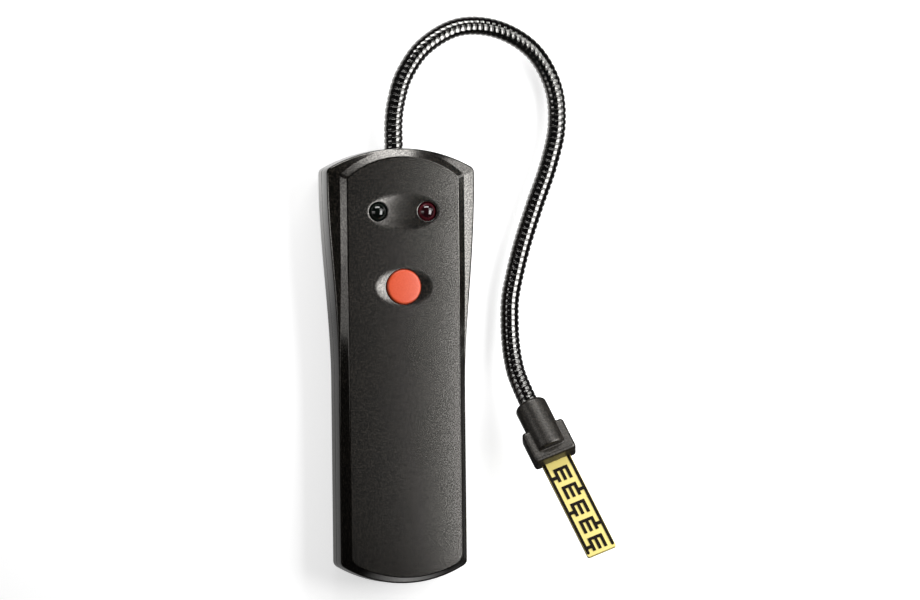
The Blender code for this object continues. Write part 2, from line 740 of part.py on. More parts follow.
def make_lamp(name, x, material):
    """Domed indicator lamp whose flange sits under the face and whose legs pass through the board"""
    flange_top = CEILING_HEIGHT - GAP
    base = flange_top - LAMP_BASE_THICKNESS
    dome_start = THICKNESS - LAMP_DOME_BELOW_FACE
    dome_height = THICKNESS + LAMP_RISE - dome_start
    profile = [(0, base), (LAMP_RADIUS + LAMP_FLANGE, base), (LAMP_RADIUS + LAMP_FLANGE, flange_top),
               (LAMP_RADIUS, flange_top)]
    steps = 4
    for step in range(steps):
        turn = math.pi / 2 * step / steps
        profile.append((LAMP_RADIUS * math.cos(turn), dome_start + dome_height * math.sin(turn)))
    profile.append((0, dome_start + dome_height))
    lamp = add_turned(name, profile, 16, standing_at(x, LAMP_Y), material)
    for side in (-1, 1):
        leg_x = x + side * LEG_PITCH / 2
        half = LEG_WIDTH / 2
        leg = add_box("leg", (leg_x - half, LAMP_Y - half, BOARD_BOTTOM - 0.8),
                      (leg_x + half, LAMP_Y + half, base + 0.5))
        join(lamp, leg)
    shade_smooth(lamp)
    return lamp


def make_circuit_board(material):
    half = BOARD_WIDTH / 2
    board = add_box("circuit_board", (-half, BOARD_LOW_EDGE, BOARD_BOTTOM),
                    (half, BOARD_HIGH_EDGE, BOARD_TOP), material)
    for x, y in board_screw_places():
        hole = add_cylinder("cutter", BOARD_SCREW_RADIUS + GAP, BOARD_BOTTOM - 1, BOARD_TOP + 1, 8,
                            standing_at(x, y))
        cut(board, hole)
    for side in (-1, 1):
        x = side * LAMP_SPACING / 2
        reach = LEG_PITCH / 2 + LEG_WIDTH / 2 + GAP
        width = LEG_WIDTH / 2 + GAP
        slot = add_box("cutter", (x - reach, LAMP_Y - width, BOARD_BOTTOM - 1),
                       (x + reach, LAMP_Y + width, BOARD_TOP + 1))
        cut(board, slot)
    return board


def make_chip(material):
    low = BOARD_TOP + GAP + 0.4
    y = BOARD_LOW_EDGE + CHIP_FROM_LOW_EDGE
    chip = add_box("amplifier_chip", (-CHIP_WIDTH / 2, y - CHIP_LENGTH / 2, low),
                   (CHIP_WIDTH / 2, y + CHIP_LENGTH / 2, low + CHIP_HEIGHT), material)
    half = LEG_WIDTH / 2
    reach = CHIP_WIDTH / 2 + 0.6
    for step in range(4):
        leg_y = y + (step - 1.5) * LEG_PITCH
        for side in (-1, 1):
            across = sorted((side * (CHIP_WIDTH / 2 - 0.5), side * reach))
            leg = add_box("leg", (across[0], leg_y - half, BOARD_TOP + GAP),
                          (across[1], leg_y + half, low + 1.6))
            join(chip, leg)
    return chip


def make_resistors(material):
    """Four axial resistors lying on the board, two on each side of the chip"""
    height = BOARD_TOP + GAP + RESISTOR_RADIUS
    body = RESISTOR_LENGTH / 2
    lead = body + 0.9
    profile = [(0, -lead), (0.35, -lead), (0.35, -body), (RESISTOR_RADIUS, -body + 0.4),
               (RESISTOR_RADIUS, body - 0.4), (0.35, body), (0.35, lead), (0, lead)]
    places = [(side, step) for side in (-1, 1) for step in range(2)]
    for number, (side, step) in enumerate(places, start=1):
        y = BOARD_LOW_EDGE + CHIP_FROM_LOW_EDGE + step * RESISTOR_PITCH
        place = Matrix.Translation((0, y, 0)) @ lying_along_y(side * RESISTOR_OFFSET, height)
        add_turned(f"resistor_{number}", profile, 6, place, material)


def make_capacitor(material):
    low = BOARD_TOP + GAP
    y = BUTTON_Y + BUTTON_RADIUS + BUTTON_FLANGE + CAPACITOR_RADIUS + CAPACITOR_TO_BUTTON
    profile = [(0, low), (CAPACITOR_RADIUS, low), (CAPACITOR_RADIUS, low + CAPACITOR_HEIGHT - 0.3),
               (CAPACITOR_RADIUS - 0.3, low + CAPACITOR_HEIGHT), (0, low + CAPACITOR_HEIGHT)]
    return add_turned("capacitor", profile, 12, standing_at(0, y), material)


def make_battery(material):
    """Block battery with its two snap terminals on the end towards the board"""
    half = BATTERY_WIDTH / 2
    low = FLOOR + GAP
    high = low + BATTERY_THICKNESS
    battery = add_box("battery", (-half, BATTERY_LOW_END, low), (half, BATTERY_HIGH_END, high), material)
    length = BATTERY_LENGTH * MM * 0.9
    bevel_edges(battery, BATTERY_ROUND, 2, lambda edge: edge.calc_length() > length)
    for side, radius in zip((-1, 1), TERMINAL_RADII):
        lying = lying_along_y(side * BATTERY_WIDTH / 4, (low + high) / 2)
        terminal = add_cylinder("terminal", radius, BATTERY_HIGH_END - 1, BATTERY_HIGH_END + TERMINAL_HEIGHT,
                                10, lying)
        join(battery, terminal)
    return battery


def make_battery_snap(material):
    low = FLOOR + GAP + SNAP_MARGIN
    high = FLOOR + GAP + BATTERY_THICKNESS - SNAP_MARGIN
    half = BATTERY_WIDTH / 2 - SNAP_SIDE_MARGIN
    start = BATTERY_HIGH_END + GAP
    snap = add_box("battery_snap", (-half, start, low), (half, SNAP_HIGH_END, high), material)
    bevel_edges(snap, 0.8, 1)
    for side, radius in zip((-1, 1), TERMINAL_RADII):
        lying = lying_along_y(side * BATTERY_WIDTH / 4, (low + high) / 2)
        depth = BATTERY_HIGH_END + TERMINAL_HEIGHT + GAP
        cut(snap, add_cylinder("cutter", radius + GAP, start - 1, depth, 10, lying))
    return snap


def make_battery_lead(name, side, material):
    """Short wire from the back of the snap up to the underside of the board"""
    x = side * LEAD_WIRE_OFFSET
    low = FLOOR + GAP + BATTERY_THICKNESS / 2
    end_y = BOARD_LOW_EDGE + 3.0
    high = BOARD_BOTTOM - GAP
    start = Vector((x, SNAP_HIGH_END + GAP, low))
    end = Vector((x, end_y, high))
    handles = [start, start + Vector((0, 5, 0)), end - Vector((0, 0, 4)), end]
    route = []
    steps = 6
    for step in range(steps + 1):
        t = step / steps
        weights = ((1 - t) ** 3, 3 * t * (1 - t) ** 2, 3 * t * t * (1 - t), t ** 3)
        route.append(sum((weight * handle for weight, handle in zip(weights, handles)), Vector()))
    return add_tube(name, Route(route), [(LEAD_WIRE_RADIUS, 6)], material)


class Route:
    """A smooth path through points, with a frame that doesn't twist, read by distance along it"""

    def __init__(self, points):
        self.points = points
        self.lengths = [0.0]
        for before, after in zip(points, points[1:]):
            self.lengths.append(self.lengths[-1] + (after - before).length)
        self.total = self.lengths[-1]
        self.tangents = []
        for i in range(len(points)):
            before = points[max(i - 1, 0)]
            after = points[min(i + 1, len(points) - 1)]
            self.tangents.append((after - before).normalized())
        side = self.tangents[0].orthogonal().normalized()
        self.sides = [side]
        for tangent in self.tangents[1:]:
            side = (side - tangent * side.dot(tangent)).normalized()
            self.sides.append(side)

    def frame(self, distance):
        i = 0
        while i < len(self.points) - 2 and self.lengths[i + 1] < distance:
            i += 1
        share = (distance - self.lengths[i]) / (self.lengths[i + 1] - self.lengths[i])
        centre = self.points[i].lerp(self.points[i + 1], share)
        tangent = self.tangents[i].lerp(self.tangents[i + 1], share).normalized()
        side = self.sides[i].lerp(self.sides[i + 1], share)
        side = (side - tangent * side.dot(tangent)).normalized()
        return centre, side, tangent.cross(side)

    def around(self, distance, radius, turn):
        centre, side, other = self.frame(distance)
        return centre + radius * (math.cos(turn) * side + math.sin(turn) * other)


def smooth_points(corners, per_span):
    """Points on a curve that passes through the corners, with even speed (Catmull-Rom)"""
    padded = [2 * corners[0] - corners[1]] + corners + [2 * corners[-1] - corners[-2]]
    points = []
    for a, b, c, d in zip(padded, padded[1:], padded[2:], padded[3:]):
        for step in range(per_span):
            t = step / per_span
            points.append(0.5 * (2 * b + (c - a) * t + (2 * a - 5 * b + 4 * c - d) * t ** 2
                                 + (3 * b - a - 3 * c + d) * t ** 3))
    points.append(corners[-1])
    return points


def probe_matrix():
    """Frame of the probe: X along it to the tip, Y across the strip, Z out of the strip's face"""
    heading = math.radians(PROBE_HEADING)
    pitch = math.radians(PROBE_PITCH)
    level = math.cos(pitch)
    along = Vector((level * math.cos(heading), level * math.sin(heading), math.sin(pitch)))
    across = along.cross(Vector((0, 0, 1))).normalized() * -1
    normal = along.cross(across)
    roll = Matrix.Rotation(math.radians(PROBE_ROLL), 3, along)
    across = roll @ across
    normal = roll @ normal
    turn = Matrix((along, across, normal)).transposed().to_4x4()
    start = Vector((0, TOP_END, NECK_HEIGHT)) + Vector(PROBE_START)
    return Matrix.Translation(start) @ turn


def neck_route():
    """The gooseneck's centre line, from its plug in the housing to its end inside the probe"""
    exit_point = Vector((0, TOP_END, NECK_HEIGHT))
    plug_end = Vector((0, FERRULE_START - PLUG_TO_FERRULE, NECK_HEIGHT))
    corners = [plug_end, plug_end.lerp(exit_point, 0.5)]
    corners += [exit_point + Vector(offset) for offset in NECK_ROUTE]
    probe = probe_matrix()
    corners.append(probe @ Vector((0, 0, 0)))
    corners.append(probe @ Vector((PROBE_NECK_DEPTH, 0, 0)))
    corners.append(probe @ Vector((PROBE_LENGTH, 0, 0)))
    return Route(smooth_points(corners, 12))


def distance_to(route, target):
    """Distance along the route of its point nearest to the target"""
    nearest = min(range(len(route.points)), key=lambda i: (route.points[i] - target).length)
    return route.lengths[nearest]


def add_tube(name, route, walls, material, start=0.0, end=None, spacing=None):
    """Tube along a route, from (radius, sides) of its outside and, if it is bored, its bore"""
    end = route.total if end is None else end
    spacing = spacing or (end - start) / (len(route.points) - 1)
    count = max(2, round((end - start) / spacing))
    rings = []
    for radius, sides in walls:
        for step in range(count + 1):
            distance = start + (end - start) * step / count
            rings.append([route.around(distance, radius, 2 * math.pi * i / sides) for i in range(sides)])
    if len(walls) == 1:
        return add_solid(name, *loft(rings), material)
    outer = rings[:count + 1]
    bore = list(reversed(rings[count + 1:]))
    sides = walls[0][1]
    points = [point for ring in outer + bore for point in ring]
    faces = []
    total = len(outer) + len(bore)
    for row in range(total):
        following = (row + 1) % total
        for i in range(sides):
            j = (i + 1) % sides
            faces.append((row * sides + i, row * sides + j, following * sides + j, following * sides + i))
    return add_solid(name, points, faces, material)


def add_wound_wire(name, route, start, end, material):
    """Shaped wire wound right-handed round the spring, with a flat crown and a narrow groove"""
    steps = round((end - start - NECK_WIRE_WIDTH) / NECK_PITCH * NECK_STEPS_PER_TURN)
    inner = NECK_RADIUS - NECK_WIRE_DEPTH
    half = NECK_WIRE_WIDTH / 2
    section = [(inner, -half), (NECK_RADIUS, -half * NECK_WIRE_CROWN), (NECK_RADIUS, half * NECK_WIRE_CROWN),
               (inner, half)]
    loops = []
    for step in range(steps + 1):
        turn = 2 * math.pi * step / NECK_STEPS_PER_TURN
        middle = start + half + NECK_PITCH * step / NECK_STEPS_PER_TURN
        loops.append([route.around(middle + offset, radius, turn) for radius, offset in section])
    return add_solid(name, *loft(loops), material)


def make_gooseneck(route, wire_material, spring_material, cable_material):
    neck_start = distance_to(route, Vector((0, FERRULE_START + GAP, NECK_HEIGHT)))
    wire_start = distance_to(route, Vector((0, FERRULE_END, NECK_HEIGHT))) + GAP
    probe_start = distance_to(route, probe_matrix() @ Vector((0, 0, 0)))
    neck_end = probe_start + PROBE_NECK_DEPTH - GAP
    wire_end = neck_end - PROBE_FERRULE_LENGTH - GAP
    walls = [(SPRING_RADIUS, SPRING_SIDES), (SPRING_BORE_RADIUS, SPRING_SIDES)]
    spring = add_tube("neck_inner_spring", route, walls, spring_material, neck_start, neck_end,
                      SPRING_RING_SPACING)
    wire = add_wound_wire("neck_outer_wire", route, wire_start, wire_end, wire_material)
    cable = add_tube("sensor_cable", route, [(CABLE_RADIUS, CABLE_SIDES)], cable_material,
                     GAP, route.total - GAP, SPRING_RING_SPACING)
    shade_smooth(spring, 50)
    return spring, wire, cable


def make_neck_ferrule(material):
    """Bush crimped on the spring's end, with the collar that the two shells trap"""
    collar = FERRULE_START + COLLAR_FROM_START
    profile = [
        (FERRULE_BORE, FERRULE_START),
        (FERRULE_RADIUS, FERRULE_START),
        (FERRULE_RADIUS, collar),
        (COLLAR_RADIUS, collar),
        (COLLAR_RADIUS, collar + COLLAR_LENGTH),
        (FERRULE_RADIUS, collar + COLLAR_LENGTH),
        (FERRULE_RADIUS, FERRULE_END),
        (FERRULE_BORE, FERRULE_END),
    ]
    return add_turned("neck_ferrule", profile, 16, lying_along_y(0, NECK_HEIGHT), material, bored=True)


def make_sensor_plug(material):
    """Plug under the board that the sensor cable ends in"""
    high = BOARD_BOTTOM - GAP
    end = FERRULE_START - PLUG_TO_FERRULE
    low = (-PLUG_WIDTH / 2, end - PLUG_LENGTH, high - PLUG_HEIGHT)
    plug = add_box("sensor_plug", low, (PLUG_WIDTH / 2, end, high), material)
    bevel_edges(plug, 0.5, 1)
    return plug


def along_probe():
    """Turns a turned solid's local Z to point along the probe's X"""
    return Matrix.Rotation(math.radians(90), 4, "Y")


def make_probe_moulding(material, parent):
    """Round boot and flat block moulded as one, open at each end for the neck and the strip"""
    radius = PROBE_RADIUS
    rim = PROBE_END_ROUND
    profile = [(0, 0), (radius - rim, 0)]
    steps = 3
    for step in range(1, steps):
        turn = math.pi / 2 * step / steps
        profile.append((radius - rim + rim * math.sin(turn), rim - rim * math.cos(turn)))
    profile += [(radius, rim), (radius, PROBE_LENGTH - 0.3), (radius - 0.3, PROBE_LENGTH), (0, PROBE_LENGTH)]
    moulding = add_turned("probe_moulding", profile, 24, along_probe(), material)
    half = BLOCK_WIDTH / 2
    block_end = BLOCK_START + BLOCK_LENGTH
    block = add_box("block", (BLOCK_START, -half, BLOCK_BOTTOM), (block_end, half, BLOCK_TOP))
    bevel_edges(block, BLOCK_ROUND, 2)
    join(moulding, block)
    neck = NECK_HOLE_RADIUS
    cut(moulding, add_cylinder("cutter", neck, -1, PROBE_NECK_DEPTH + GAP, 16, along_probe()))
    cable = CABLE_RADIUS + GAP
    cut(moulding, add_cylinder("cutter", cable, PROBE_NECK_DEPTH - 1, PROBE_LENGTH, 8, along_probe()))
    width = STRIP_WIDTH / 2 + GAP
    slot = add_box("slot", (block_end - STRIP_INSERT - GAP, -width, STRIP_TOP - STRIP_THICKNESS - GAP),
                   (block_end + 1, width, STRIP_TOP + TRACK_CLEARANCE + TRACK_THICKNESS + GAP))
    cut(moulding, slot)
    moulding.parent = parent
    shade_smooth(moulding, 30)
    return moulding


def make_probe_ferrule(material, parent):
    end = PROBE_NECK_DEPTH - GAP
    start = end - PROBE_FERRULE_LENGTH
    outer = NECK_RADIUS
    profile = [(FERRULE_BORE, start), (outer, start), (outer, end), (FERRULE_BORE, end)]
    ferrule = add_turned("probe_ferrule", profile, 16, along_probe(), material, bored=True)
    ferrule.parent = parent
    return ferrule


def make_strip(material, parent):
    """Rigid laminate that plugs into the moulding, with bevelled edges at its tip"""
    start = BLOCK_START + BLOCK_LENGTH - STRIP_INSERT
    end = BLOCK_START + BLOCK_LENGTH + STRIP_LENGTH
    half = STRIP_WIDTH / 2
    corner = 0.5
    outline = [(start, -half), (end - corner, -half), (end, -half + corner), (end, half - corner),
               (end - corner, half), (start, half)]
    return add_plate("sensor_strip", outline, STRIP_TOP - STRIP_THICKNESS, STRIP_TOP, material, parent)


def comb_outline(start, side):
    """One conductor comb with its stub to the rail on the given side, anticlockwise"""
    half = COMB_WIDTH / 2
    tine_pitch = (COMB_WIDTH - TINE_WIDTH) / (TINE_COUNT - 1)
    end = start + COMB_LENGTH
    spine = start + TINE_WIDTH
    stub = start + STUB_FROM_SPINE
    points = [(start, -half)]
    for tine in range(TINE_COUNT):
        low = -half + tine * tine_pitch
        if tine > 0:
            points.append((spine, low))
        points.append((end, low))
        points.append((end, low + TINE_WIDTH))
        if tine < TINE_COUNT - 1:
            points.append((spine, low + TINE_WIDTH))
    rail = STRIP_WIDTH / 2 - RAIL_FROM_EDGE - RAIL_WIDTH
    points += [(stub + STUB_WIDTH, half), (stub + STUB_WIDTH, rail + 0.1), (stub, rail + 0.1), (stub, half)]
    points.append((start, half))
    return [(x, side * y) for x, y in points]


def make_conductor(name, side, combs, material, parent):
    """A rail along one edge of the strip, joined to every second comb"""
    first = BLOCK_START + BLOCK_LENGTH
    low = STRIP_TOP + TRACK_CLEARANCE
    high = low + TRACK_THICKNESS
    edge = STRIP_WIDTH / 2 - RAIL_FROM_EDGE
    end = first + STRIP_LENGTH - RAIL_END_MARGIN
    corner = RAIL_WIDTH * 0.3
    rail = [(first - STRIP_INSERT + GAP, edge - RAIL_WIDTH), (end - corner, edge - RAIL_WIDTH),
            (end, edge - RAIL_WIDTH + corner), (end, edge - corner), (end - corner, edge),
            (first - STRIP_INSERT + GAP, edge)]
    conductor = add_plate(name, [(x, side * y) for x, y in rail], low, high, material)
    for comb in combs:
        outline = comb_outline(first + COMB_START + comb * COMB_PITCH, side)
        join(conductor, add_plate("comb", outline, low, high))
    conductor.parent = parent
    return conductor


def make_probe(materials, route):
    frame = bpy.data.objects.new("probe_frame", None)
    bpy.context.scene.collection.objects.link(frame)
    matrix = probe_matrix()
    frame.rotation_euler = matrix.to_euler()
    frame.location = matrix.translation * MM
    make_probe_moulding(materials["rubber"], frame)
    make_probe_ferrule(materials["brass"], frame)
    make_strip(materials["laminate"], frame)
    make_conductor("left_conductor", -1, range(0, COMB_COUNT, 2), materials["carbon"], frame)
    make_conductor("right_conductor", 1, range(1, COMB_COUNT, 2), materials["carbon"], frame)


def make_screws(name, places, seat, radius, head_radius, head_height, length, material):
    """Round-head screws driven in from the back, each with the underside of its head at the seat"""
    profile = [(0, -head_height), (head_radius * 0.7, -head_height), (head_radius, -head_height * 0.4),
               (head_radius, 0), (radius, 0), (radius, length - radius), (0, length)]
    for number, (x, y) in enumerate(places, start=1):
        screw = add_turned(f"{name}_{number}", profile, 8, None, material)
        screw.location = Vector((x, y, seat)) * MM
        shade_smooth(screw)


def main():
    clear_scene()
    materials = {
        "shell": make_material("moulded_abs_charcoal", (0.045, 0.045, 0.043), 0.55),
        "cover": make_material("moulded_abs_cover", (0.04, 0.04, 0.038), 0.55),
        "button": make_material("orange_button", (0.85, 0.16, 0.06), 0.35),
        "switch": make_material("switch_black", (0.02, 0.02, 0.02), 0.5),
        "plunger": make_material("switch_plunger", (0.1, 0.1, 0.1), 0.4),
        "green_lamp": make_material("green_lens", (0.01, 0.05, 0.02), 0.1),
        "red_lamp": make_material("red_lens", (0.25, 0.01, 0.02), 0.1),
        "board": make_material("board_green", (0.02, 0.16, 0.06), 0.5),
        "chip": make_material("chip_black", (0.02, 0.02, 0.02), 0.5),
        "resistor": make_material("resistor_tan", (0.6, 0.42, 0.22), 0.5),
        "capacitor": make_material("capacitor_sleeve", (0.03, 0.05, 0.2), 0.4),
        "battery": make_material("battery_case", (0.2, 0.2, 0.22), 0.35, 0.5),
        "snap": make_material("snap_black", (0.02, 0.02, 0.02), 0.6),
        "red_lead": make_material("red_insulation", (0.5, 0.02, 0.02), 0.5),
        "black_lead": make_material("black_insulation", (0.02, 0.02, 0.02), 0.5),
        "pad": make_material("foam_pad", (0.08, 0.08, 0.08), 0.9),
        "steel": make_material("zinc_steel", (0.6, 0.6, 0.6), 0.3, 1.0),
        "brass": make_material("brass", (0.7, 0.5, 0.2), 0.3, 1.0),
        "wire": make_material("black_coated_wire", (0.015, 0.015, 0.015), 0.25, 0.6),
        "cable": make_material("cable_jacket", (0.1, 0.1, 0.1), 0.6),
        "rubber": make_material("probe_moulding", (0.05, 0.05, 0.045), 0.6),
        "laminate": make_material("yellow_laminate", (0.82, 0.72, 0.28), 0.45),
        "carbon": make_material("dark_conductor", (0.04, 0.03, 0.02), 0.4),
    }
    make_front_shell(materials["shell"])
    make_back_shell(materials["shell"])
    make_battery_cover(materials["cover"])
    make_button_cap(materials["button"])
    make_switch(materials["switch"], materials["plunger"])
    make_lamp("green_lamp", -LAMP_SPACING / 2, materials["green_lamp"])
    make_lamp("red_lamp", LAMP_SPACING / 2, materials["red_lamp"])
    make_circuit_board(materials["board"])
    make_chip(materials["chip"])
    make_resistors(materials["resistor"])
    make_capacitor(materials["capacitor"])
    make_battery(materials["battery"])
    make_battery_snap(materials["snap"])
    make_battery_lead("red_battery_lead", -1, materials["red_lead"])
    make_battery_lead("black_battery_lead", 1, materials["black_lead"])
    pad_low = CEILING_HEIGHT - GAP - PAD_THICKNESS
    half = BATTERY_WIDTH / 2 - PAD_SIDE_MARGIN
    add_box("battery_pad", (-half, BATTERY_LOW_END + PAD_END_MARGIN, pad_low),
            (half, BATTERY_HIGH_END - PAD_END_MARGIN, pad_low + PAD_THICKNESS), materials["pad"])
    seat = SCREW_RECESS + SCREW_HEAD_HEIGHT
    make_screws("shell_screw", screw_places(), seat, SCREW_RADIUS, SCREW_HEAD_RADIUS, SCREW_HEAD_HEIGHT,
                SCREW_LENGTH, materials["steel"])
    make_screws("board_screw", board_screw_places(), BOARD_BOTTOM - GAP, BOARD_SCREW_RADIUS,
                BOARD_SCREW_HEAD_RADIUS, BOARD_SCREW_HEAD_HEIGHT, BOARD_SCREW_LENGTH, materials["steel"])
    make_neck_ferrule(materials["brass"])
    make_sensor_plug(materials["snap"])
    route = neck_route()
    make_gooseneck(route, materials["wire"], materials["steel"], materials["cable"])
    make_probe(materials, route)
    bpy.context.view_layer.update()


main()
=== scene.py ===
import math
from bisect import bisect_right

import bmesh
import bpy
from mathutils import Matrix, Vector
from mathutils.geometry import delaunay_2d_cdt


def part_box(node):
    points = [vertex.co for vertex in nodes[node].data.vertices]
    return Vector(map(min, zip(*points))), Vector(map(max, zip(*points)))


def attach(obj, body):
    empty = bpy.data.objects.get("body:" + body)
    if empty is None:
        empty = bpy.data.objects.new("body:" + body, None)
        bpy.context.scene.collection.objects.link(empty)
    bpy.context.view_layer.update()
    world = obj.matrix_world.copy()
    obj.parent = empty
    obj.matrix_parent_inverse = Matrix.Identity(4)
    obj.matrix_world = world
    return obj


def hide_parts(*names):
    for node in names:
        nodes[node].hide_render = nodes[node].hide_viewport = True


mm = 0.001
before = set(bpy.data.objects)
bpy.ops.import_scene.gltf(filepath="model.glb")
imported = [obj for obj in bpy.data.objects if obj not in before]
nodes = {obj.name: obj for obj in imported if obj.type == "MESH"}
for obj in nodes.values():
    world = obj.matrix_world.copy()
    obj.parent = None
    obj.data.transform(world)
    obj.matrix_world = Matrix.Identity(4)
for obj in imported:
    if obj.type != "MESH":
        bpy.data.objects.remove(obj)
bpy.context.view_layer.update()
print("frame loaded,", len(nodes), "nodes")

# Camera, far off with a long lens as in product photography

cameraSetup = {
    "lens": 300.0,
    "sensor": 36.0,
    "seenFromLeft": 15.5,       # degrees off the face's normal
    "roll": 0.65,
    "target": (27.4, 27.15, 12.0),
    "frameWidth": 384.56,       # mm across the picture at the target
}


def placeCamera(setup):
    tilt = math.radians(setup["seenFromLeft"])
    roll = math.radians(setup["roll"])
    right = Vector((math.cos(tilt) * math.cos(roll), -math.sin(roll), math.sin(tilt) * math.cos(roll)))
    up = Vector((math.cos(tilt) * math.sin(roll), math.cos(roll), math.sin(tilt) * math.sin(roll)))
    back = right.cross(up)
    distance = setup["frameWidth"] * setup["lens"] / setup["sensor"]
    place = Vector(setup["target"]) + back * distance
    data = bpy.data.cameras.new("camera")
    data.lens = setup["lens"]
    data.sensor_width = setup["sensor"]
    data.clip_start = 0.1
    data.clip_end = 60.0
    camera = bpy.data.objects.new("camera", data)
    bpy.context.scene.collection.objects.link(camera)
    turn = Matrix((right, up, back)).transposed().to_4x4()
    camera.matrix_world = Matrix.Translation(place * mm) @ turn
    bpy.context.scene.camera = camera


placeCamera(cameraSetup)

# Node helpers for the materials


def toLinear(hexColour):
    channels = [int(hexColour[i:i + 2], 16) / 255 for i in (0, 2, 4)]
    return tuple(c / 12.92 if c <= 0.04045 else ((c + 0.055) / 1.055) ** 2.4 for c in channels) + (1.0,)


def addNode(tree, kind, settings=None, links=None):
    node = tree.nodes.new(kind)
    for name, value in (settings or {}).items():
        if isinstance(name, str) and hasattr(node, name):
            setattr(node, name, value)
        else:
            node.inputs[name].default_value = value
    for name, source in (links or {}).items():
        tree.links.new(source, node.inputs[name])
    return node


def startMaterial(name, settings):
    material = bpy.data.materials.new(name)
    material.use_nodes = True
    tree = material.node_tree
    shader = tree.nodes["Principled BSDF"]
    for socket, value in settings.items():
        shader.inputs[socket].default_value = value
    place = addNode(tree, "ShaderNodeTexCoord").outputs["Object"]
    return material, tree, shader, place


def perMillimetre(size):
    return 1 / (size * mm)        # texture scale whose features are this many millimetres across


def tintTwoTones(tree, shader, factor, low, high):
    tones = addNode(tree, "ShaderNodeMix", {"data_type": "RGBA", 6: toLinear(low), 7: toLinear(high)},
                    {0: factor})
    tree.links.new(tones.outputs[2], shader.inputs["Base Color"])
    return tones.outputs[2]


def mapRange(tree, value, low, high, start=0.0, end=1.0):
    return addNode(tree, "ShaderNodeMapRange", {"From Min": low, "From Max": high, "To Min": start,
                                                "To Max": end}, {"Value": value}).outputs[0]


def bumpFrom(tree, shader, heights):
    normal = None
    for height, depth in heights:
        links = {"Height": height}
        if normal:
            links["Normal"] = normal
        bump = addNode(tree, "ShaderNodeBump", {"Strength": 1.0, "Distance": depth * mm}, links)
        normal = bump.outputs[0]
    tree.links.new(normal, shader.inputs["Normal"])


def glintFrom(tree, shader, value, most):
    # each crumb of the grain throws back its own share of the light
    level = mapRange(tree, value, 0.36, 0.64, most * 0.56, most)
    tree.links.new(level, shader.inputs["Specular IOR Level"])


# ABS, moulded against a spark-eroded tool: a fine even grain that breaks the shine into sparkle

absShell = {
    "dark": "020201",
    # the pale flecks are partly the grain's own tone and partly painted glints, the sparkle of the shine put into
    # the colour
    "light": "302B25",
    "grain": 0.55,              # mm between the grain's peaks
    "grainDepth": 0.006,
    "speckle": 0.56,            # mm, coarser than real so that it shows at this distance
    "speckleDepth": 0.0065,
    "cloud": 22.0,              # mm, slow unevenness of the moulding
    "roughness": 0.19,
    "specular": 1.0,
}


def makeMouldedAbs(name, setup):
    material, tree, shader, place = startMaterial(name, {"Roughness": setup["roughness"], "IOR": 1.72,
                                                         "Specular IOR Level": setup["specular"],
                                                         "Specular Tint": (1.0, 0.965, 0.92, 1.0)})
    grain = addNode(tree, "ShaderNodeTexNoise", {"Scale": perMillimetre(setup["grain"]), "Detail": 2.0,
                                                 "Roughness": 0.6}, {"Vector": place}).outputs[0]
    cloud = addNode(tree, "ShaderNodeTexNoise", {"Scale": perMillimetre(setup["cloud"]), "Detail": 2.0},
                    {"Vector": place}).outputs[0]
    speckle = addNode(tree, "ShaderNodeTexNoise", {"Scale": perMillimetre(setup["speckle"]), "Detail": 0.5},
                      {"Vector": place}).outputs[0]
    slow = mapRange(tree, cloud, 0.0, 1.0, 0.88, 1.12)
    grainAndPaintedGlints = addNode(tree, "ShaderNodeMath", {"operation": "MULTIPLY"}, {0: speckle, 1: slow}).outputs[0]
    # the pale flecks mixed in here are partly real grain tone and partly painted glints
    tintTwoTones(tree, shader, mapRange(tree, grainAndPaintedGlints, 0.5, 0.72), setup["dark"], setup["light"])
    glintFrom(tree, shader, speckle, setup["specular"])
    bumpFrom(tree, shader, [(grain, setup["grainDepth"]), (speckle, setup["speckleDepth"])])
    return material


# ABS, moulded in a polished tool: even orange with a soft satin shine

orangeAbs = {"low": "DF532F", "high": "E55C37", "grain": 0.8, "grainDepth": 0.006, "roughness": 0.3}


def makeButtonAbs(setup):
    material, tree, shader, place = startMaterial("ABS satin orange", {"Roughness": setup["roughness"],
                                                                       "IOR": 1.54})
    grain = addNode(tree, "ShaderNodeTexNoise", {"Scale": perMillimetre(setup["grain"]), "Detail": 3.0},
                    {"Vector": place}).outputs[0]
    tintTwoTones(tree, shader, mapRange(tree, grain, 0.35, 0.65), setup["low"], setup["high"])
    bumpFrom(tree, shader, [(grain, setup["grainDepth"])])
    return material


# Epoxy, cast round the lamp's chip: glassy and deep in colour, with a painted paler ring towards the rim that
# stands in for light leaving the side

# core is the epoxy's own colour, ring is painted light towards the rim
greenEpoxy = {"core": "050A07", "ring": "222A25", "paintedGlowStart": 2.5, "paintedGlowEnd": 3.5}
redEpoxy = {"core": "20060B", "ring": "742430", "paintedGlowStart": 2.4, "paintedGlowEnd": 3.7}


def makeCastEpoxy(name, setup):
    material, tree, shader, place = startMaterial(name, {"Roughness": 0.06, "IOR": 1.53,
                                                         "Coat Weight": 1.0, "Coat Roughness": 0.03})
    parts = addNode(tree, "ShaderNodeSeparateXYZ", {}, {0: place})
    across = addNode(tree, "ShaderNodeCombineXYZ", {}, {0: parts.outputs[0], 1: parts.outputs[1]})
    radius = addNode(tree, "ShaderNodeVectorMath", {"operation": "LENGTH"}, {0: across.outputs[0]})
    # painted light: towards the rim the colour turns to the paler ring tone, where light would leave the lens's
    # side
    ring = mapRange(tree, radius.outputs["Value"], setup["paintedGlowStart"] * mm, setup["paintedGlowEnd"] * mm)
    tintTwoTones(tree, shader, ring, setup["core"], setup["ring"])
    return material


# Spring steel wire, drawn and black nickel plated: near black with hard white lights

blackNickel = {"low": "767573", "high": "82817F", "scuff": 1.4, "scuffDepth": 0.0005, "roughness": 0.09}


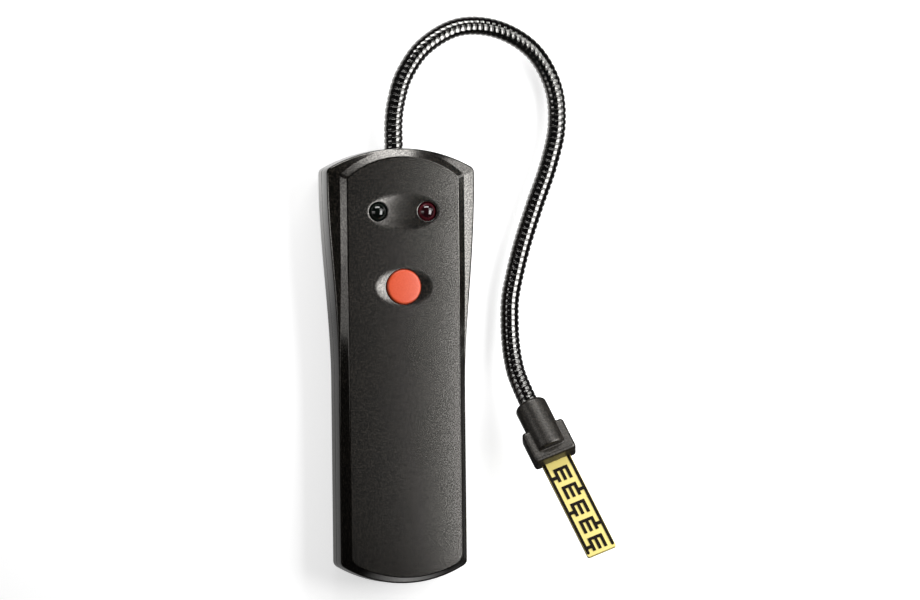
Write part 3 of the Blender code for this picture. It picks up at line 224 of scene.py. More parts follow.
def makePlatedWire(name, setup, metallic=1.0):
    material, tree, shader, place = startMaterial(name, {"Metallic": metallic,
                                                         "Roughness": setup["roughness"]})
    scuff = addNode(tree, "ShaderNodeTexNoise", {"Scale": perMillimetre(setup["scuff"]), "Detail": 4.0},
                    {"Vector": place}).outputs[0]
    tintTwoTones(tree, shader, mapRange(tree, scuff, 0.35, 0.65), setup["low"], setup["high"])
    rough = mapRange(tree, scuff, 0.3, 0.7, setup["roughness"] * 0.8, setup["roughness"] * 1.5)
    tree.links.new(rough, shader.inputs["Roughness"])
    bumpFrom(tree, shader, [(scuff, setup["scuffDepth"])])
    return material


# Thermoplastic rubber, injection moulded: mottled dull skin with flow marks and a coarse blast grain

rubber = {"dark": "080706", "light": "3A352E", "mottle": 0.9, "grain": 0.6, "mottleDepth": 0.03,
          "grainDepth": 0.012, "roughness": 0.38, "specular": 1.0}


def makeMouldedRubber(setup):
    material, tree, shader, place = startMaterial("TPE moulded", {"Roughness": setup["roughness"], "IOR": 1.5,
                                                                  "Specular IOR Level": setup["specular"],
                                                                  "Specular Tint": (1.0, 0.96, 0.91, 1.0)})
    mottle = addNode(tree, "ShaderNodeTexNoise", {"Scale": perMillimetre(setup["mottle"]), "Detail": 4.0,
                                                  "Distortion": 0.6}, {"Vector": place}).outputs[0]
    grain = addNode(tree, "ShaderNodeTexNoise", {"Scale": perMillimetre(setup["grain"]), "Detail": 2.0},
                    {"Vector": place}).outputs[0]
    tintTwoTones(tree, shader, mapRange(tree, mottle, 0.44, 0.74), setup["dark"], setup["light"])
    glintFrom(tree, shader, grain, setup["specular"])
    bumpFrom(tree, shader, [(mottle, setup["mottleDepth"]), (grain, setup["grainDepth"])])
    return material


# Glass-epoxy laminate, pressed and lacquered yellow: a faint cloth weave under a satin lacquer

# left and right are the two tones of painted light across the strip's width, deeper orange on one side and paler
# on the other
laminate = {"left": "E2B468", "right": "EEDC82", "weave": 0.9, "weaveDepth": 0.006, "roughness": 0.36}


def makeLaminate(setup, across):
    material, tree, shader, place = startMaterial("glass epoxy laminate", {"Roughness": setup["roughness"],
                                                                           "IOR": 1.55})
    side = addNode(tree, "ShaderNodeVectorMath", {"operation": "DOT_PRODUCT", 1: across}, {0: place})
    fleck = addNode(tree, "ShaderNodeTexNoise", {"Scale": perMillimetre(1.2), "Detail": 4.0},
                    {"Vector": place}).outputs[0]
    # painted light: one side of the strip is deeper orange and the other paler, mixed with a random fleck of tone
    paintedSideLight = mapRange(tree, side.outputs["Value"], -6.4 * mm, 6.4 * mm, -0.1, 0.9)
    share = addNode(tree, "ShaderNodeMath", {"operation": "MULTIPLY_ADD", "use_clamp": True, 1: 0.5},
                    {0: fleck, 2: paintedSideLight}).outputs[0]
    tintTwoTones(tree, shader, share, setup["left"], setup["right"])
    weave = addNode(tree, "ShaderNodeTexNoise", {"Scale": perMillimetre(setup["weave"]), "Detail": 2.0},
                    {"Vector": place}).outputs[0]
    bumpFrom(tree, shader, [(weave, setup["weaveDepth"])])
    return material


# Carbon ink, screen printed: nearly black brown, a little uneven and slightly shiny

carbonInk = {"low": "0F0B08", "high": "1F1913", "patch": 1.1, "depth": 0.012, "roughness": 0.42}
silverSolder = {"low": "B9B6B0", "high": "D0CDC6", "patch": 1.0, "depth": 0.01, "roughness": 0.3}


def makePatchy(name, setup, metallic=0.0, ior=1.5):
    values = {"Roughness": setup["roughness"], "Metallic": metallic}
    if metallic < 0.5:
        values["IOR"] = ior
    material, tree, shader, place = startMaterial(name, values)
    patch = addNode(tree, "ShaderNodeTexNoise", {"Scale": perMillimetre(setup["patch"]), "Detail": 3.0},
                    {"Vector": place}).outputs[0]
    tintTwoTones(tree, shader, mapRange(tree, patch, 0.35, 0.65), setup["low"], setup["high"])
    bumpFrom(tree, shader, [(patch, setup["depth"])])
    return material


# Everyday finishes of what sits inside

inner = {
    "solder mask green": ({"low": "1B4A2C", "high": "245A37", "patch": 3.0, "depth": 0.01,
                           "roughness": 0.3}, 0.0),                 # lacquered board, soft shine
    "epoxy moulded black": ({"low": "1C1B1A", "high": "242321", "patch": 0.4, "depth": 0.02,
                             "roughness": 0.55}, 0.0),              # chip and plug bodies, dull grain
    "lacquer beige": ({"low": "B89A6C", "high": "C4A878", "patch": 1.5, "depth": 0.02,
                       "roughness": 0.3}, 0.0),                     # dipped resistors, glossy
    "can printed grey": ({"low": "55575B", "high": "606266", "patch": 6.0, "depth": 0.02,
                          "roughness": 0.32}, 0.3),                 # battery sleeve, plain and shiny
    "PVC red": ({"low": "9C1418", "high": "A81B1E", "patch": 2.0, "depth": 0.02,
                 "roughness": 0.4}, 0.0),                           # extruded insulation, smooth
    "PVC black": ({"low": "141414", "high": "1B1B1B", "patch": 2.0, "depth": 0.02,
                   "roughness": 0.4}, 0.0),                         # extruded insulation, smooth
    "polyurethane foam": ({"low": "1F1F1F", "high": "3A3A3A", "patch": 0.5, "depth": 0.2,
                           "roughness": 0.95}, 0.0),                # open cells, no shine
    "steel zinc plated": ({"low": "A8A8A6", "high": "BEBEBC", "patch": 0.8, "depth": 0.01,
                           "roughness": 0.3}, 1.0),                 # bright with a cloudy plating
    "brass turned": ({"low": "B08D4A", "high": "C4A05A", "patch": 0.6, "depth": 0.01,
                      "roughness": 0.25}, 1.0),                     # turned bush, warm metal
}
finishes = {name: makePatchy(name, setup, metallic) for name, (setup, metallic) in inner.items()}
finishes["shell"] = makeMouldedAbs("ABS moulded charcoal", absShell)
finishes["button"] = makeButtonAbs(orangeAbs)
finishes["green"] = makeCastEpoxy("epoxy cast green", greenEpoxy)
finishes["red"] = makeCastEpoxy("epoxy cast red", redEpoxy)
finishes["wire"] = makePlatedWire("steel black nickel", blackNickel)
finishes["rubber"] = makeMouldedRubber(rubber)
finishes["carbon"] = makePatchy("carbon ink printed", carbonInk, ior=1.18)
print("materials made")

# Mesh helpers


def makePiece(name, points, faces, finish, body, replaced, slot, sharp=32.0, weld=False):
    mesh = bpy.data.meshes.new(name)
    mesh.from_pydata([Vector(point) * mm for point in points], [], faces)
    work = bmesh.new()
    work.from_mesh(mesh)
    if weld:
        bmesh.ops.remove_doubles(work, verts=work.verts, dist=2e-6)
    bmesh.ops.recalc_face_normals(work, faces=work.faces)
    work.to_mesh(mesh)
    work.free()
    piece = bpy.data.objects.new(name, mesh)
    bpy.context.scene.collection.objects.link(piece)
    if finish:
        mesh.materials.append(finishes[finish])
    if sharp is not None:
        mesh.shade_smooth()
        mesh.set_sharp_from_angle(angle=math.radians(sharp))
    if body:
        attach(piece, body)
    if replaced:
        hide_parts(*replaced)
    return piece


def makeTool(points, faces):
    return makePiece("tool", points, faces, None, None, None, None, sharp=None)


def applyModifiers(piece):
    bpy.context.view_layer.update()
    shaped = piece.evaluated_get(bpy.context.evaluated_depsgraph_get())
    mesh = bpy.data.meshes.new_from_object(shaped)
    piece.modifiers.clear()
    piece.data = mesh


def combine(piece, tool, operation):
    change = piece.modifiers.new("combine", "BOOLEAN")
    change.operation = operation
    change.solver = "EXACT"
    change.object = tool
    applyModifiers(piece)
    bpy.data.objects.remove(tool, do_unlink=True)


def smoothEdges(piece, sharp=32.0, weighted=True):
    piece.data.shade_smooth()
    piece.data.set_sharp_from_angle(angle=math.radians(sharp))
    if weighted:
        evenOut = piece.modifiers.new("flat faces stay flat", "WEIGHTED_NORMAL")
        evenOut.keep_sharp = True
        evenOut.weight = 90


def skin(loops, capStart=True, capEnd=True):
    count = len(loops[0])
    points = [point for loop in loops for point in loop]
    faces = []
    if capStart:
        faces.append(tuple(reversed(range(count))))
    for row in range(len(loops) - 1):
        low = row * count
        for i in range(count):
            j = (i + 1) % count
            faces.append((low + i, low + j, low + count + j, low + count + i))
    if capEnd:
        top = (len(loops) - 1) * count
        faces.append(tuple(range(top, top + count)))
    return points, faces


def addTo(points, faces, morePoints, moreFaces):
    start = len(points)
    points.extend(morePoints)
    faces.extend(tuple(start + i for i in face) for face in moreFaces)


def circle(x, y, radius, sides):
    turns = [2 * math.pi * i / sides for i in range(sides)]
    return [(x + radius * math.cos(turn), y + radius * math.sin(turn)) for turn in turns]


def box(low, high):
    loops = []
    for z in (low[2], high[2]):
        loops.append([(low[0], low[1], z), (high[0], low[1], z), (high[0], high[1], z), (low[0], high[1], z)])
    return skin(loops)


def cylinder(x, y, radius, low, high, sides):
    ring = circle(x, y, radius, sides)
    return skin([[(px, py, z) for px, py in ring] for z in (low, high)])


def lathe(profile, sides, place=None):
    points = []
    faces = []
    rings = []
    for radius, height in profile:
        if radius == 0:
            rings.append([len(points)] * sides)
            points.append(Vector((0, 0, height)))
        else:
            rings.append(list(range(len(points), len(points) + sides)))
            points.extend(Vector((x, y, height)) for x, y in circle(0, 0, radius, sides))
    for lower, upper in zip(rings, rings[1:]):
        for i in range(sides):
            j = (i + 1) % sides
            faces.append(tuple(dict.fromkeys((lower[i], lower[j], upper[j], upper[i]))))
    if place:
        points = [place @ point for point in points]
    return points, faces


def fillet(before, corner, after, reach, reachAfter, steps):
    start = corner + (before - corner).normalized() * min(reach, (before - corner).length * 0.49)
    end = corner + (after - corner).normalized() * min(reachAfter, (after - corner).length * 0.49)
    curve = []
    for step in range(steps + 1):
        t = step / steps
        curve.append(start * (1 - t) ** 2 + corner * 2 * t * (1 - t) + end * t * t)
    return curve


# The housing's outline, bevel and face, from the same sizes as the CAD part

housing = {
    "gap": 0.3, "wall": 2.0, "floor": 2.2, "ceiling": 2.4,
    "length": 181.0, "gripHalf": 27.2, "flare": 4.6, "flareStart": -6.0, "flareEnd": 78.0,
    "topArc": 64.0, "bottomArc": 51.0, "corner": 1.6, "toStation": 9.0,
    "thickness": 24.0, "parting": 12.2, "lipHeight": 1.2, "lipThickness": 0.9,
    "edgeRound": 0.8, "ledgeMinimum": 0.5, "ledgeSlope": 0.3, "backWidth": 5.2, "backHeight": 8.0,
    "bevel": 2.8, "bevelTop": 3.0, "bevelBottom": 2.0, "depthTop": 1.45, "depthGrip": 4.5,
    "shallowAbove": 45.0, "deepBelow": -17.0, "footTopArc": 39.5, "faceTopArc": 37.5,
    "faceBottomArc": 46.0, "faceTopCorner": 0.8, "faceBottomCorner": 2.6, "faceInset": 0.35,
    "ceilingInset": 0.8, "arcSteps": 26, "cornerSteps": 7, "sideSteps": 70,
}
topEnd = housing["length"] / 2
ceilingHeight = housing["thickness"] - housing["ceiling"]
lampY = topEnd - 26.3
buttonY = topEnd - 57.6
lampHole = 4.05
buttonHole = 7.45
dishes = [{"y": lampY, "length": 30.0, "width": 14.4, "depth": 1.0},
          {"y": buttonY, "length": 23.4, "width": 14.6, "depth": 0.85}]
dishShape = {"centre": 3.6, "softness": 0.32}


def ease(t):
    t = min(1.0, max(0.0, t))
    return t * t * (3 - 2 * t)


def arcDrop(radius, x):
    return radius - math.sqrt(radius * radius - x * x)


def outlineHalfWidth(y):
    share = ease((y - housing["flareStart"]) / (housing["flareEnd"] - housing["flareStart"]))
    return housing["gripHalf"] + housing["flare"] * share


def bevelDepth(y):
    share = ease((housing["shallowAbove"] - y) / (housing["shallowAbove"] - housing["deepBelow"]))
    return housing["depthTop"] + (housing["depthGrip"] - housing["depthTop"]) * share


def endPoints(cornerX, end, radius, setback, upward):
    points = []
    for step in range(housing["arcSteps"] + 1):
        x = (cornerX - setback) * step / housing["arcSteps"]
        points.append((x, end - upward * arcDrop(radius, x)))
    cornerY = end - upward * arcDrop(radius, cornerX)
    startX, startY = points[-1]
    sideY = cornerY - upward * setback
    for step in range(1, housing["cornerSteps"] + 1):
        t = step / housing["cornerSteps"]
        points.append((startX * (1 - t) ** 2 + cornerX * (2 * t * (1 - t) + t * t),
                       startY * (1 - t) ** 2 + cornerY * 2 * t * (1 - t) + sideY * t * t))
    return points


def planLoop(halfWidth, top, topRadius, bottom, bottomRadius, topCorner, bottomCorner):
    low = endPoints(halfWidth(bottom), bottom, bottomRadius, bottomCorner, -1)
    high = endPoints(halfWidth(top), top, topRadius, topCorner, 1)
    last = topEnd - arcDrop(housing["topArc"], housing["gripHalf"]) - housing["toStation"]
    side = []
    for step in range(housing["sideSteps"]):
        y = housing["deepBelow"] + (last - housing["deepBelow"]) * step / (housing["sideSteps"] - 1)
        side.append((halfWidth(y), y))
    right = low + side + list(reversed(high))
    left = [(-x, y) for x, y in reversed(right[1:-1])]
    return right + left


def outlineLoop(inset):
    corner = max(housing["corner"] - inset / 2, 0.6)
    return planLoop(lambda y: outlineHalfWidth(y) - inset, topEnd - inset, housing["topArc"] - inset,
                    -topEnd + inset, housing["bottomArc"] - inset, corner, corner)


def footLoop():
    minimum = housing["ledgeMinimum"]
    return planLoop(lambda y: housing["gripHalf"] - minimum, topEnd - minimum, housing["footTopArc"],
                    -topEnd + minimum, housing["bottomArc"], housing["faceTopCorner"], housing["corner"])


def faceLoop(inset):
    half = housing["gripHalf"] - housing["ledgeMinimum"] - housing["bevel"] - inset
    top = topEnd - housing["ledgeMinimum"] - housing["bevelTop"] - inset
    bottom = -topEnd + housing["ledgeMinimum"] + housing["bevelBottom"] + inset
    return planLoop(lambda y: half, top, housing["faceTopArc"] - inset, bottom,
                    housing["faceBottomArc"] - inset, housing["faceTopCorner"], housing["faceBottomCorner"])


def atHeight(loop, height):
    return [(x, y, height) for x, y in loop]


def faceHeight(x, y):
    lowest = 0.0
    for dish in dishes:
        total = dishShape["centre"] + dish["depth"]
        widening = math.sqrt(1 - (dishShape["centre"] / total) ** 2)
        a = dish["length"] / 2 / widening
        b = dish["width"] / 2 / widening
        room = 1 - (x / a) ** 2 - ((y - dish["y"]) / b) ** 2
        if room > 0:
            drop = dishShape["centre"] - total * math.sqrt(room)
            blend = max(dishShape["softness"] - abs(drop), 0) / dishShape["softness"]
            lowest = min(lowest, min(0, drop) - blend * blend * dishShape["softness"] / 4)
    return housing["thickness"] + lowest


def fillPlan(outer, holes, extra, height):
    # flat sheet between the outer loop and the holes, lifted by a height function
    flat = []
    edges = []
    for ring in [outer] + holes + extra["rings"]:
        start = len(flat)
        flat.extend(Vector(point) for point in ring)
        edges.extend((start + i, start + (i + 1) % len(ring)) for i in range(len(ring)))
    flat.extend(Vector(point) for point in extra["points"])
    points, _, faces, _, _, _ = delaunay_2d_cdt(flat, edges, [], 1, 1e-5)
    kept = []
    for face in faces:
        centre = sum((points[i] for i in face), Vector((0, 0))) / len(face)
        inHole = any((centre - Vector(middle)).length < radius for middle, radius in extra["open"])
        if not inHole:
            kept.append(tuple(face))
    return [(p.x, p.y, height(p.x, p.y)) for p in points], kept


def ellipse(y, a, b, sides):
    turns = [2 * math.pi * i / sides for i in range(sides)]
    return [(a * math.cos(turn), y + b * math.sin(turn)) for turn in turns]


def dishPoints(holes):
    # rings along each dish's rim, then a close hexagonal grid inside it
    points = []
    for dish in dishes:
        for offset in (-0.9, -0.45, -0.18, 0.0, 0.18, 0.45, 0.9):
            points += ellipse(dish["y"], dish["length"] / 2 + offset, dish["width"] / 2 + offset, 120)
        spacing = 0.55
        rows = int(dish["width"] / spacing / 0.866) + 2
        columns = int(dish["length"] / spacing) + 2
        for row in range(-rows // 2, rows // 2 + 1):
            for column in range(-columns // 2, columns // 2 + 1):
                x = (column + 0.5 * (row % 2)) * spacing
                y = row * spacing * 0.866
                reach = math.hypot(x / (dish["length"] / 2 - 1.2), y / (dish["width"] / 2 - 1.2))
                if reach < 1:
                    points.append((x, dish["y"] + y))
    clear = []
    for x, y in points:
        if all(math.hypot(x - hx, y - hy) > radius + 0.35 for (hx, hy), radius in holes):
            clear.append((x, y))
    return clear


def frontShellLoops():
    outline = outlineLoop(0)
    foot = footLoop()
    face = faceLoop(0)
    inFace = faceLoop(housing["faceInset"])
    rim = housing["parting"] + housing["gap"] / 2
    rows = []
    for (x, y), (footX, footY), (faceX, faceY), (inX, inY) in zip(outline, foot, face, inFace):
        footHeight = housing["thickness"] - bevelDepth(footY)
        ledge = math.hypot(footX - x, footY - y)
        edge = Vector((x, y, footHeight - housing["ledgeSlope"] * ledge))
        footPoint = Vector((footX, footY, footHeight))
        facePoint = Vector((faceX, faceY, housing["thickness"]))
        inPoint = Vector((inX, inY, housing["thickness"]))
        base = Vector((x, y, rim))
        inward = (footPoint - edge).normalized()
        profile = [Vector((x, y, rim)) + Vector((inward.x, inward.y, 0)).normalized() * 0.12,
                   Vector((x, y, rim + 0.12))]
        profile += fillet(base, edge, footPoint, housing["edgeRound"], min(housing["edgeRound"], 0.35 * ledge), 7)
        profile += fillet(edge, footPoint, facePoint, 0.16, 0.16, 3)
        profile += fillet(footPoint, facePoint, inPoint, 0.42, 0.35, 6)
        rows.append(profile)
    count = len(rows[0])
    return [[tuple(row[k]) for row in rows] for k in range(count)]


def frontShellInside():
    rim = housing["parting"] + housing["gap"] / 2
    cavity = outlineLoop(housing["wall"])
    rebate = outlineLoop(housing["lipThickness"])
    step = rim + housing["lipHeight"] + housing["gap"]
    shoulder = [(x, y, housing["thickness"] - bevelDepth(y) - housing["ceiling"]) for x, y in cavity]
    outline = frontShellLoops()[0]
    return [atHeight(faceLoop(housing["ceilingInset"]), ceilingHeight), shoulder, atHeight(cavity, step),
            atHeight(rebate, step), atHeight(rebate, rim), outline]


def holeWall(x, y, radius, sides, points, faces):
    rows = []
    for widen, drop in ((0.3, 0.0), (0.17, 0.03), (0.07, 0.1), (0.015, 0.2), (0.0, 0.34)):
        ring = circle(x, y, radius + widen, sides)
        edge = circle(x, y, radius + 0.3, sides)
        rows.append([(px, py, faceHeight(ex, ey) - drop) for (px, py), (ex, ey) in zip(ring, edge)])
    rows.append([(px, py, ceilingHeight) for px, py in circle(x, y, radius, sides)])
    addTo(points, faces, *skin(rows, False, False))


lampSpots = [((-10.6, lampY), lampHole), ((10.6, lampY), lampHole)]
holeSpots = lampSpots + [((0.0, buttonY), buttonHole)]


def screwPlaces():
    highX = outlineHalfWidth(topEnd - 23.5) - 7.8
    return [(side * x, y) for side in (-1, 1) for x, y in ((21.4, -topEnd + 16.5), (highX, topEnd - 23.5))]


def makeFrontShell():
    points = []
    faces = []
    loops = frontShellLoops()
    addTo(points, faces, *skin(loops, False, False))
    addTo(points, faces, *skin(frontShellInside(), False, False))
    outer = faceLoop(housing["faceInset"])
    sides = {lampHole: 72, buttonHole: 120}
    rims = [circle(x, y, radius + 0.3, sides[radius]) for (x, y), radius in holeSpots]
    support = [circle(x, y, radius + more, sides[radius]) for (x, y), radius in holeSpots
               for more in (0.45, 0.75)]
    support.append(faceLoop(housing["faceInset"] + 0.45))
    extra = {"rings": support, "points": dishPoints([(spot, radius + 0.7) for spot, radius in holeSpots]),
             "open": [(spot, radius + 0.25) for spot, radius in holeSpots]}
    addTo(points, faces, *fillPlan(outer, rims, extra, faceHeight))
    rims = [circle(x, y, radius, sides[radius]) for (x, y), radius in holeSpots]
    extra = {"rings": [], "points": [], "open": [(spot, radius - 0.05) for spot, radius in holeSpots]}
    addTo(points, faces, *fillPlan(faceLoop(housing["ceilingInset"]), rims, extra,
                                   lambda x, y: ceilingHeight))
    for (x, y), radius in holeSpots:
        holeWall(x, y, radius, sides[radius], points, faces)
    shell = makePiece("shell_front", points, faces, "shell", "housing", ["front_shell"], "shell", weld=True)
    passage = lathe([(0, topEnd - 5), (4.35, topEnd - 5), (4.35, topEnd + 2), (0, topEnd + 2)], 48,
                    lyingAlongY(0, 10.0))
    combine(shell, makeTool(*passage), "DIFFERENCE")
    smoothEdges(shell, 30)
    return shell


def lyingAlongY(x, z):
    return Matrix.Translation((x, 0, z)) @ Matrix.Rotation(math.radians(-90), 4, "X")


def frontShellRibs():
    # screw bosses, board posts and battery ribs under the face
    points = []
    faces = []
    roof = ceilingHeight + 0.4
    for x, y in screwPlaces():
        addTo(points, faces, *lathe([(1.6, 12.5), (3.2, 12.5), (3.2, roof), (1.6, roof), (1.6, 12.5)], 32,
                                    Matrix.Translation((x, y, 0))))
    for x, y in [(side * 15.5, y) for side in (-1, 1) for y in (-11.2, 46.0)]:
        addTo(points, faces, *lathe([(1.4, 15.9), (2.6, 15.9), (2.6, roof), (1.4, roof), (1.4, 15.9)], 24,
                                    Matrix.Translation((x, y, 0))))
    for side in (-1, 1):
        across = sorted((side * 14.05, side * 15.25))
        addTo(points, faces, *box((across[0], -79.5, 5.0), (across[1], -37.1, roof)))
    return makePiece("shell_front_ribs", points, faces, "shell", "housing", ["front_shell"], "shell")


makeFrontShell()
frontShellRibs()
print("front shell made")

# Back shell and battery cover

backSetup = {"coverHalf": 15.5, "coverHigh": -26.2, "coverRecess": 0.3, "grooves": 5, "groovePitch": 2.2,
             "grooveWidth": 1.1, "grooveDepth": 0.5, "grooveHalf": 7.0, "grooveFromEnd": 6.0,
             "tongueReach": 1.1, "catchHalf": 5.0}


def backShellLoops(lowest=0.0):
    rim = housing["parting"] - housing["gap"] / 2
    lip = outlineLoop(housing["lipThickness"] + housing["gap"])
    cavity = outlineLoop(housing["wall"])
    width = housing["backWidth"]
    height = housing["backHeight"]
    outside = []
    steps = 9
    for step in range(steps + 1):
        turn = math.pi / 2 * step / steps
        z = max(lowest, height * (1 - math.sin(turn)))
        outside.append(atHeight(outlineLoop(width * (1 - math.cos(turn))), z))
    return [
        atHeight(outlineLoop(width + 1.2), housing["floor"]),
        atHeight(outlineLoop(width + 0.4), housing["floor"]),
        atHeight(outlineLoop(housing["wall"] + width * 0.3), housing["floor"] + height * 0.2),
        atHeight(cavity, housing["floor"] + height * 0.75),
        atHeight(cavity, rim + housing["lipHeight"]),
        atHeight(lip, rim + housing["lipHeight"]),
        atHeight(lip, rim),
        atHeight(outlineLoop(0.12), rim),
        atHeight(outlineLoop(0), rim - 0.12),
        *outside,
        atHeight(outlineLoop(width + 0.8), lowest),
    ]


def coverRegion(margin):
    half = backSetup["coverHalf"] + margin
    return box((-half, -topEnd - 10, -5), (half, backSetup["coverHigh"] + margin, 9 + margin))


def roundSharpEdges(piece, width, angle=40.0):
    soften = piece.modifiers.new("edge", "BEVEL")
    soften.width = width * mm
    soften.segments = 2
    soften.limit_method = "ANGLE"
    soften.angle_limit = math.radians(angle)


def makeBackShell():
    shell = makePiece("shell_back", *skin(backShellLoops()), "shell", "housing", ["back_shell"], "shell",
                      sharp=None)
    combine(shell, makeTool(*coverRegion(housing["gap"])), "DIFFERENCE")
    for x, y in screwPlaces():
        combine(shell, makeTool(*cylinder(x, y, 4.2, 1.8, 11.9, 40)), "UNION")
        combine(shell, makeTool(*cylinder(x, y, 2.9, -1, 3.4, 40)), "DIFFERENCE")
        combine(shell, makeTool(*cylinder(x, y, 1.6, 2.4, 13, 24)), "DIFFERENCE")
    combine(shell, makeTool(*box((-17.6, -22.7, 1.8), (17.6, -21.2, 9.2))), "UNION")
    passage = lathe([(0, topEnd - 5), (4.35, topEnd - 5), (4.35, topEnd + 2), (0, topEnd + 2)], 48,
                    lyingAlongY(0, 10.0))
    combine(shell, makeTool(*passage), "DIFFERENCE")
    roundSharpEdges(shell, 0.12)
    smoothEdges(shell, 32)
    return shell


def makeCover():
    setup = backSetup
    cover = makePiece("cover_door", *skin(backShellLoops(setup["coverRecess"])), "shell", "cover",
                      ["battery_cover"], "cover", sharp=None)
    combine(cover, makeTool(*coverRegion(0)), "INTERSECT")
    low = housing["floor"] + housing["gap"]
    for side in (-1, 1):
        reach = sorted((side * (setup["coverHalf"] - 1.4), side * (setup["coverHalf"] + 1.4)))
        combine(cover, makeTool(*box((reach[0], -64.2, low), (reach[1], -40.2, low + 1.2))), "UNION")
        root = sorted((side * (setup["coverHalf"] - 1.4), side * (setup["coverHalf"] - 0.2)))
        combine(cover, makeTool(*box((root[0], -64.2, 1.8), (root[1], -40.2, low + 1.2))), "UNION")
    end = setup["coverHigh"]
    half = setup["catchHalf"]
    combine(cover, makeTool(*box((-half, end - 1.6, low), (half, end + 1.4, low + 1.2))), "UNION")
    combine(cover, makeTool(*box((-half, end - 1.6, 1.8), (half, end - 0.2, low + 1.2))), "UNION")
    half = setup["grooveHalf"]
    for step in range(setup["grooves"]):
        y = end - setup["grooveFromEnd"] - setup["groovePitch"] * step
        depth = setup["coverRecess"] + setup["grooveDepth"]
        combine(cover, makeTool(*box((-half, y - setup["grooveWidth"], -1), (half, y, depth))), "DIFFERENCE")
    roundSharpEdges(cover, 0.12)
    smoothEdges(cover, 32)
    return cover


makeBackShell()
makeCover()
print("back shell and cover made")

# Screws with a cross recess, seen from the back

screwSetup = {"head": 2.6, "headHeight": 1.9, "shank": 1.3, "length": 15.5, "seat": 3.1, "slot": 0.75,
              "slotReach": 1.5, "slotDepth": 1.1}


def makeShellScrew(number, x, y):
    setup = screwSetup
    top = setup["seat"]
    head = setup["head"]
    low = top - setup["headHeight"]
    profile = [(0, low)]
    for step in range(1, 9):
        turn = math.pi / 2 * step / 8
        profile.append((head * math.sin(turn), low + 0.75 * (1 - math.cos(turn))))
    profile += [(head, top - 0.15), (head - 0.1, top), (setup["shank"], top),
                (setup["shank"], top + setup["length"] - 1.3), (0, top + setup["length"])]
    screw = makePiece("shell_screw_head_%d" % number, *lathe(profile, 40, Matrix.Translation((x, y, 0))),
                      "steel zinc plated", "housing", ["shell_screw_%d" % number], "steel", sharp=None)
    reach = setup["slotReach"]
    half = setup["slot"] / 2
    for width, length in ((half, reach), (reach, half)):
        combine(screw, makeTool(*box((x - width, y - length, low - 1),
                                     (x + width, y + length, low + setup["slotDepth"]))), "DIFFERENCE")
    smoothEdges(screw, 30)


for number, (x, y) in enumerate(screwPlaces(), start=1):
    makeShellScrew(number, x, y)
print("screws made")

# Button and lamps

buttonSetup = {"radius": 7.15, "rise": 1.0, "flange": 1.5, "flangeThickness": 1.1, "crown": 0.12,
               "edge": 0.85}


def makeButton():
    setup = buttonSetup
    top = housing["thickness"] + setup["rise"]
    flangeTop = ceilingHeight - housing["gap"]
    radius = setup["radius"]
    edge = setup["edge"]
    profile = [(0, flangeTop - setup["flangeThickness"]),
               (radius + setup["flange"], flangeTop - setup["flangeThickness"]),
               (radius + setup["flange"], flangeTop), (radius, flangeTop), (radius, top - edge)]
    for step in range(1, 11):
        turn = math.pi / 2 * step / 10
        profile.append((radius - edge + edge * math.cos(turn),
                        top - setup["crown"] - edge + edge * math.sin(turn) + 0.0))
    for share in (0.8, 0.6, 0.4, 0.2):
        profile.append(((radius - edge) * share, top - setup["crown"] * share * share))
    profile.append((0, top))
    makePiece("button_dome", *lathe(profile, 96, Matrix.Translation((0, buttonY, 0))), "button", "button",
              ["button_cap"], "button", sharp=45)


lampSetup = {"radius": 3.75, "rise": 1.3, "flange": 0.8, "base": 1.2}


def makeLamp(name, x, finish, node):
    setup = lampSetup
    flangeTop = ceilingHeight - housing["gap"]
    low = flangeTop - setup["base"]
    top = housing["thickness"] + setup["rise"]
    radius = setup["radius"]
    profile = [(0, low), (radius + setup["flange"], low), (radius + setup["flange"], flangeTop),
               (radius, flangeTop)]
    for step in range(32):
        turn = math.pi / 2 * step / 32
        profile.append((radius * math.cos(turn), top - radius + radius * math.sin(turn)))
    profile.append((0, top))
    points, faces = lathe(profile, 72)
    for side in (-1, 1):
        legX = side * 1.27
        addTo(points, faces, *box((legX - 0.3, -0.3, 13.2), (legX + 0.3, 0.3, low + 0.5)))
    lamp = makePiece(name, points, faces, finish, None, None, None, sharp=45)
    lamp.location = Vector((x, lampY, 0)) * mm
    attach(lamp, "housing")
    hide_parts(node)


# Foam pad over the battery: die-cut, flat where it lies on the battery and crowned towards the face

padSetup = {"corner": 2.0, "pull": 0.4, "crown": 0.35, "round": 0.7, "steps": 14}


def padRing(low, high, inset, scale, height):
    middleX = (low.x + high.x) / 2
    middleY = (low.y + high.y) / 2
    halfX = (high.x - low.x) / 2 - inset
    halfY = (high.y - low.y) / 2 - inset
    points = []
    count = 4 * padSetup["steps"]
    for i in range(count):
        turn = 2 * math.pi * (i + 0.5) / count
        c = math.cos(turn)
        s = math.sin(turn)
        stretch = (abs(c) ** 8 + abs(s) ** 8) ** (-1 / 8)
        x = c * stretch
        y = s * stretch
        # the sides pull in between the corners
        pullX = padSetup["pull"] * max(0.0, 1 - y * y) * abs(x) ** 6
        pullY = padSetup["pull"] * max(0.0, 1 - x * x) * abs(y) ** 6
        points.append((middleX + scale * (halfX - pullX) * x, middleY + scale * (halfY - pullY) * y, height))
    return points


